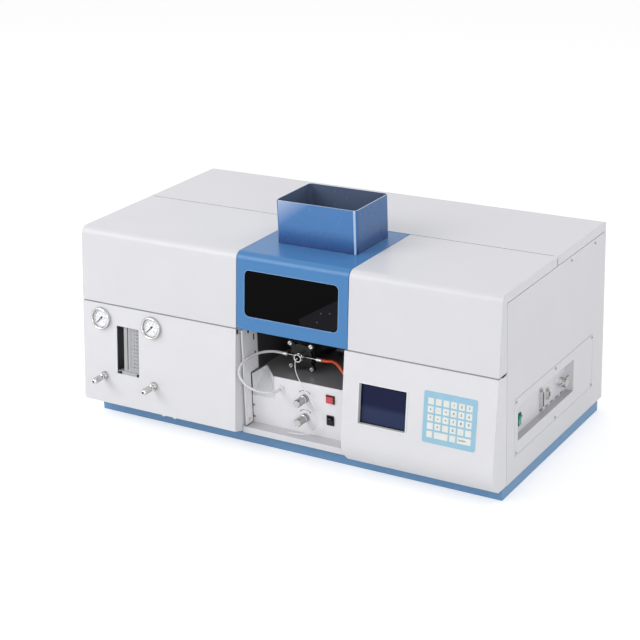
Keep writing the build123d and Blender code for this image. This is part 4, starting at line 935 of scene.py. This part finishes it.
# Pins and jack posts of the data ports

bm = bmesh.new()
for y, counts in ((-28, (13, 12)), (4, (5, 4))):
    for x, count in zip((-1.4, 1.4), counts):
        for step in range(count):
            spot = (step - (count - 1) / 2) * 2.45
            lathe(bm, side_face(RECESS_X, y, PORT_ROW_Z) @ Matrix.Translation((x, spot, 5.6)),
                  [(0, -0.1), (0.55, -0.1), (0.55, 0.12), (0.3, 0.12), (0, 0.05)], 10)
for y, half in ((-28, 20.7), (4, 10.2)):
    for side in (-1, 1):
        lathe(bm, side_face(RECESS_X, y, PORT_ROW_Z) @ Matrix.Translation((0, side * half, 1)),
              [(0, 0), (2.6, 0), (2.6, 4.2), (1.5, 4.4), (1.5, 2.5), (0, 2.5)], 6)
piece("port_pins", bm, "steel")

# Rim of the hood window, in a paler blue that is a painted highlight along its edge

bm = bmesh.new()
rise = math.hypot(1, FRONT_LEAN)
face = gas_face(34.5, 357.5)
ring_plate(bm, face, round_outline(229.4, 99 * rise + 2.4, 12.2),
           round_outline(227, 99 * rise, 11), -0.6, 0.12)
piece("window_rim", bm, "rim_highlight_blue", "hood", smooth=False)

# Small fixings seen through the low right corner of the window

bm = bmesh.new()
for x, y in ((72.8, -15), (93.5, -12), (63.6, -35)):
    lathe(bm, face @ Matrix.Translation((x, y, -2)),
          [(0, 0), (2.2, 0), (2.2, 0.4), (1.6, 0.8), (0, 0.9)], 16)
piece("window_fixings", bm, "black", "hood")

# Catch under the hood; its near-black colour is painted shade

bm = bmesh.new()
prism(bm, wall_face(167.5, -252, 279), rectangle(5, 7), -2, 0, 0.4)
piece("hood_catch", bm, "painted_shade", "hood", smooth=False)

# Screws in the folded edge under the gas panel

bm = bmesh.new()
for x in (-297, -266.5):
    under = face_frame((x, -275, 44.3), (1, 0, 0), (0, -0.283, -0.959))
    lathe(bm, under, [(0, 0), (4.2, 0), (4.2, 2.0), (3.8, 3.2), (2.6, 4.0), (0, 4.2)], 24)
piece("under_screws", bm, "chrome")


# Stage and light

BRIGHTEST_TOWARD = (-0.15, 0.70, 0.65)
BACKDROP_LIGHT = (("From Min", -0.7), ("From Max", 0.6), ("To Min", 0.12), ("To Max", 0.725))
FLOOR_REACH = 14.0
FLOOR_GLOW = 0.42
LAMPS = (("left", (-2.4, -3.0, 2.5), (-0.1, 0, 0.2), (3.0, 2.4), 77),
         ("right", (2.5, -3.0, 1.5), (0, -0.1, 0.2), (1.8, 1.4), 29),
         ("side", (2.1, 2.3, 1.3), (0.5, 0.2, 0.25), (1.6, 1.6), 9.5),
         ("top", (0, 0.3, 3.6), (0, 0, 0.2), (3.0, 2.0), 3))


def seen_directly(tree):
    """1 for rays that show the backdrop: from the camera, mirrored or through glass."""
    path = add(tree, "ShaderNodeLightPath")
    through = maths(tree, "MAXIMUM", path.outputs["Is Glossy Ray"],
                    path.outputs["Is Transmission Ray"])
    return maths(tree, "MAXIMUM", path.outputs["Is Camera Ray"], through)


def stage_floor():
    mesh = bpy.data.meshes.new("floor")
    reach = FLOOR_REACH
    mesh.from_pydata([(-reach, -reach, 0), (reach, -reach, 0), (reach, reach, 0),
                      (-reach, reach, 0)], [], [(0, 1, 2, 3)])
    floor = bpy.data.objects.new("floor", mesh)
    bpy.context.scene.collection.objects.link(floor)
    material, tree, shader = new_material("floor")
    shader.inputs["Base Color"].default_value = (0.82, 0.82, 0.82, 1)
    shader.inputs["Roughness"].default_value = 0.9
    shader.inputs["Emission Color"].default_value = (1, 1, 1, 1)
    tree.links.new(maths(tree, "MULTIPLY", seen_directly(tree), FLOOR_GLOW),
                   shader.inputs["Emission Strength"])
    mesh.materials.append(material)


def area_light(name, place, target, size, power):
    data = bpy.data.lights.new(name, "AREA")
    data.shape = "RECTANGLE"
    data.size, data.size_y = size
    data.energy = power
    lamp = bpy.data.objects.new(name, data)
    bpy.context.scene.collection.objects.link(lamp)
    lamp.location = place
    away = Vector(place) - Vector(target)
    lamp.rotation_euler = away.to_track_quat("Z", "Y").to_euler()


def studio():
    """White backdrop; its light on the object grows toward the top and the rear."""
    world = bpy.data.worlds.new("studio")
    bpy.context.scene.world = world
    world.use_nodes = True
    tree = world.node_tree
    shade = tree.nodes["Background"]
    where = add(tree, "ShaderNodeTexCoord")
    toward = add(tree, "ShaderNodeVectorMath", operation="DOT_PRODUCT")
    toward.inputs[1].default_value = BRIGHTEST_TOWARD
    tree.links.new(where.outputs["Generated"], toward.inputs[0])
    level = add(tree, "ShaderNodeMapRange")
    for name, value in BACKDROP_LIGHT:
        level.inputs[name].default_value = value
    tree.links.new(toward.outputs["Value"], level.inputs["Value"])
    tree.links.new(maths(tree, "MAXIMUM", seen_directly(tree), level.outputs["Result"]),
                   shade.inputs["Strength"])
    shade.inputs["Color"].default_value = (1, 1, 1, 1)
    for lamp in LAMPS:
        area_light(*lamp)
    bpy.context.scene.view_settings.view_transform = "Standard"


stage_floor()
studio()
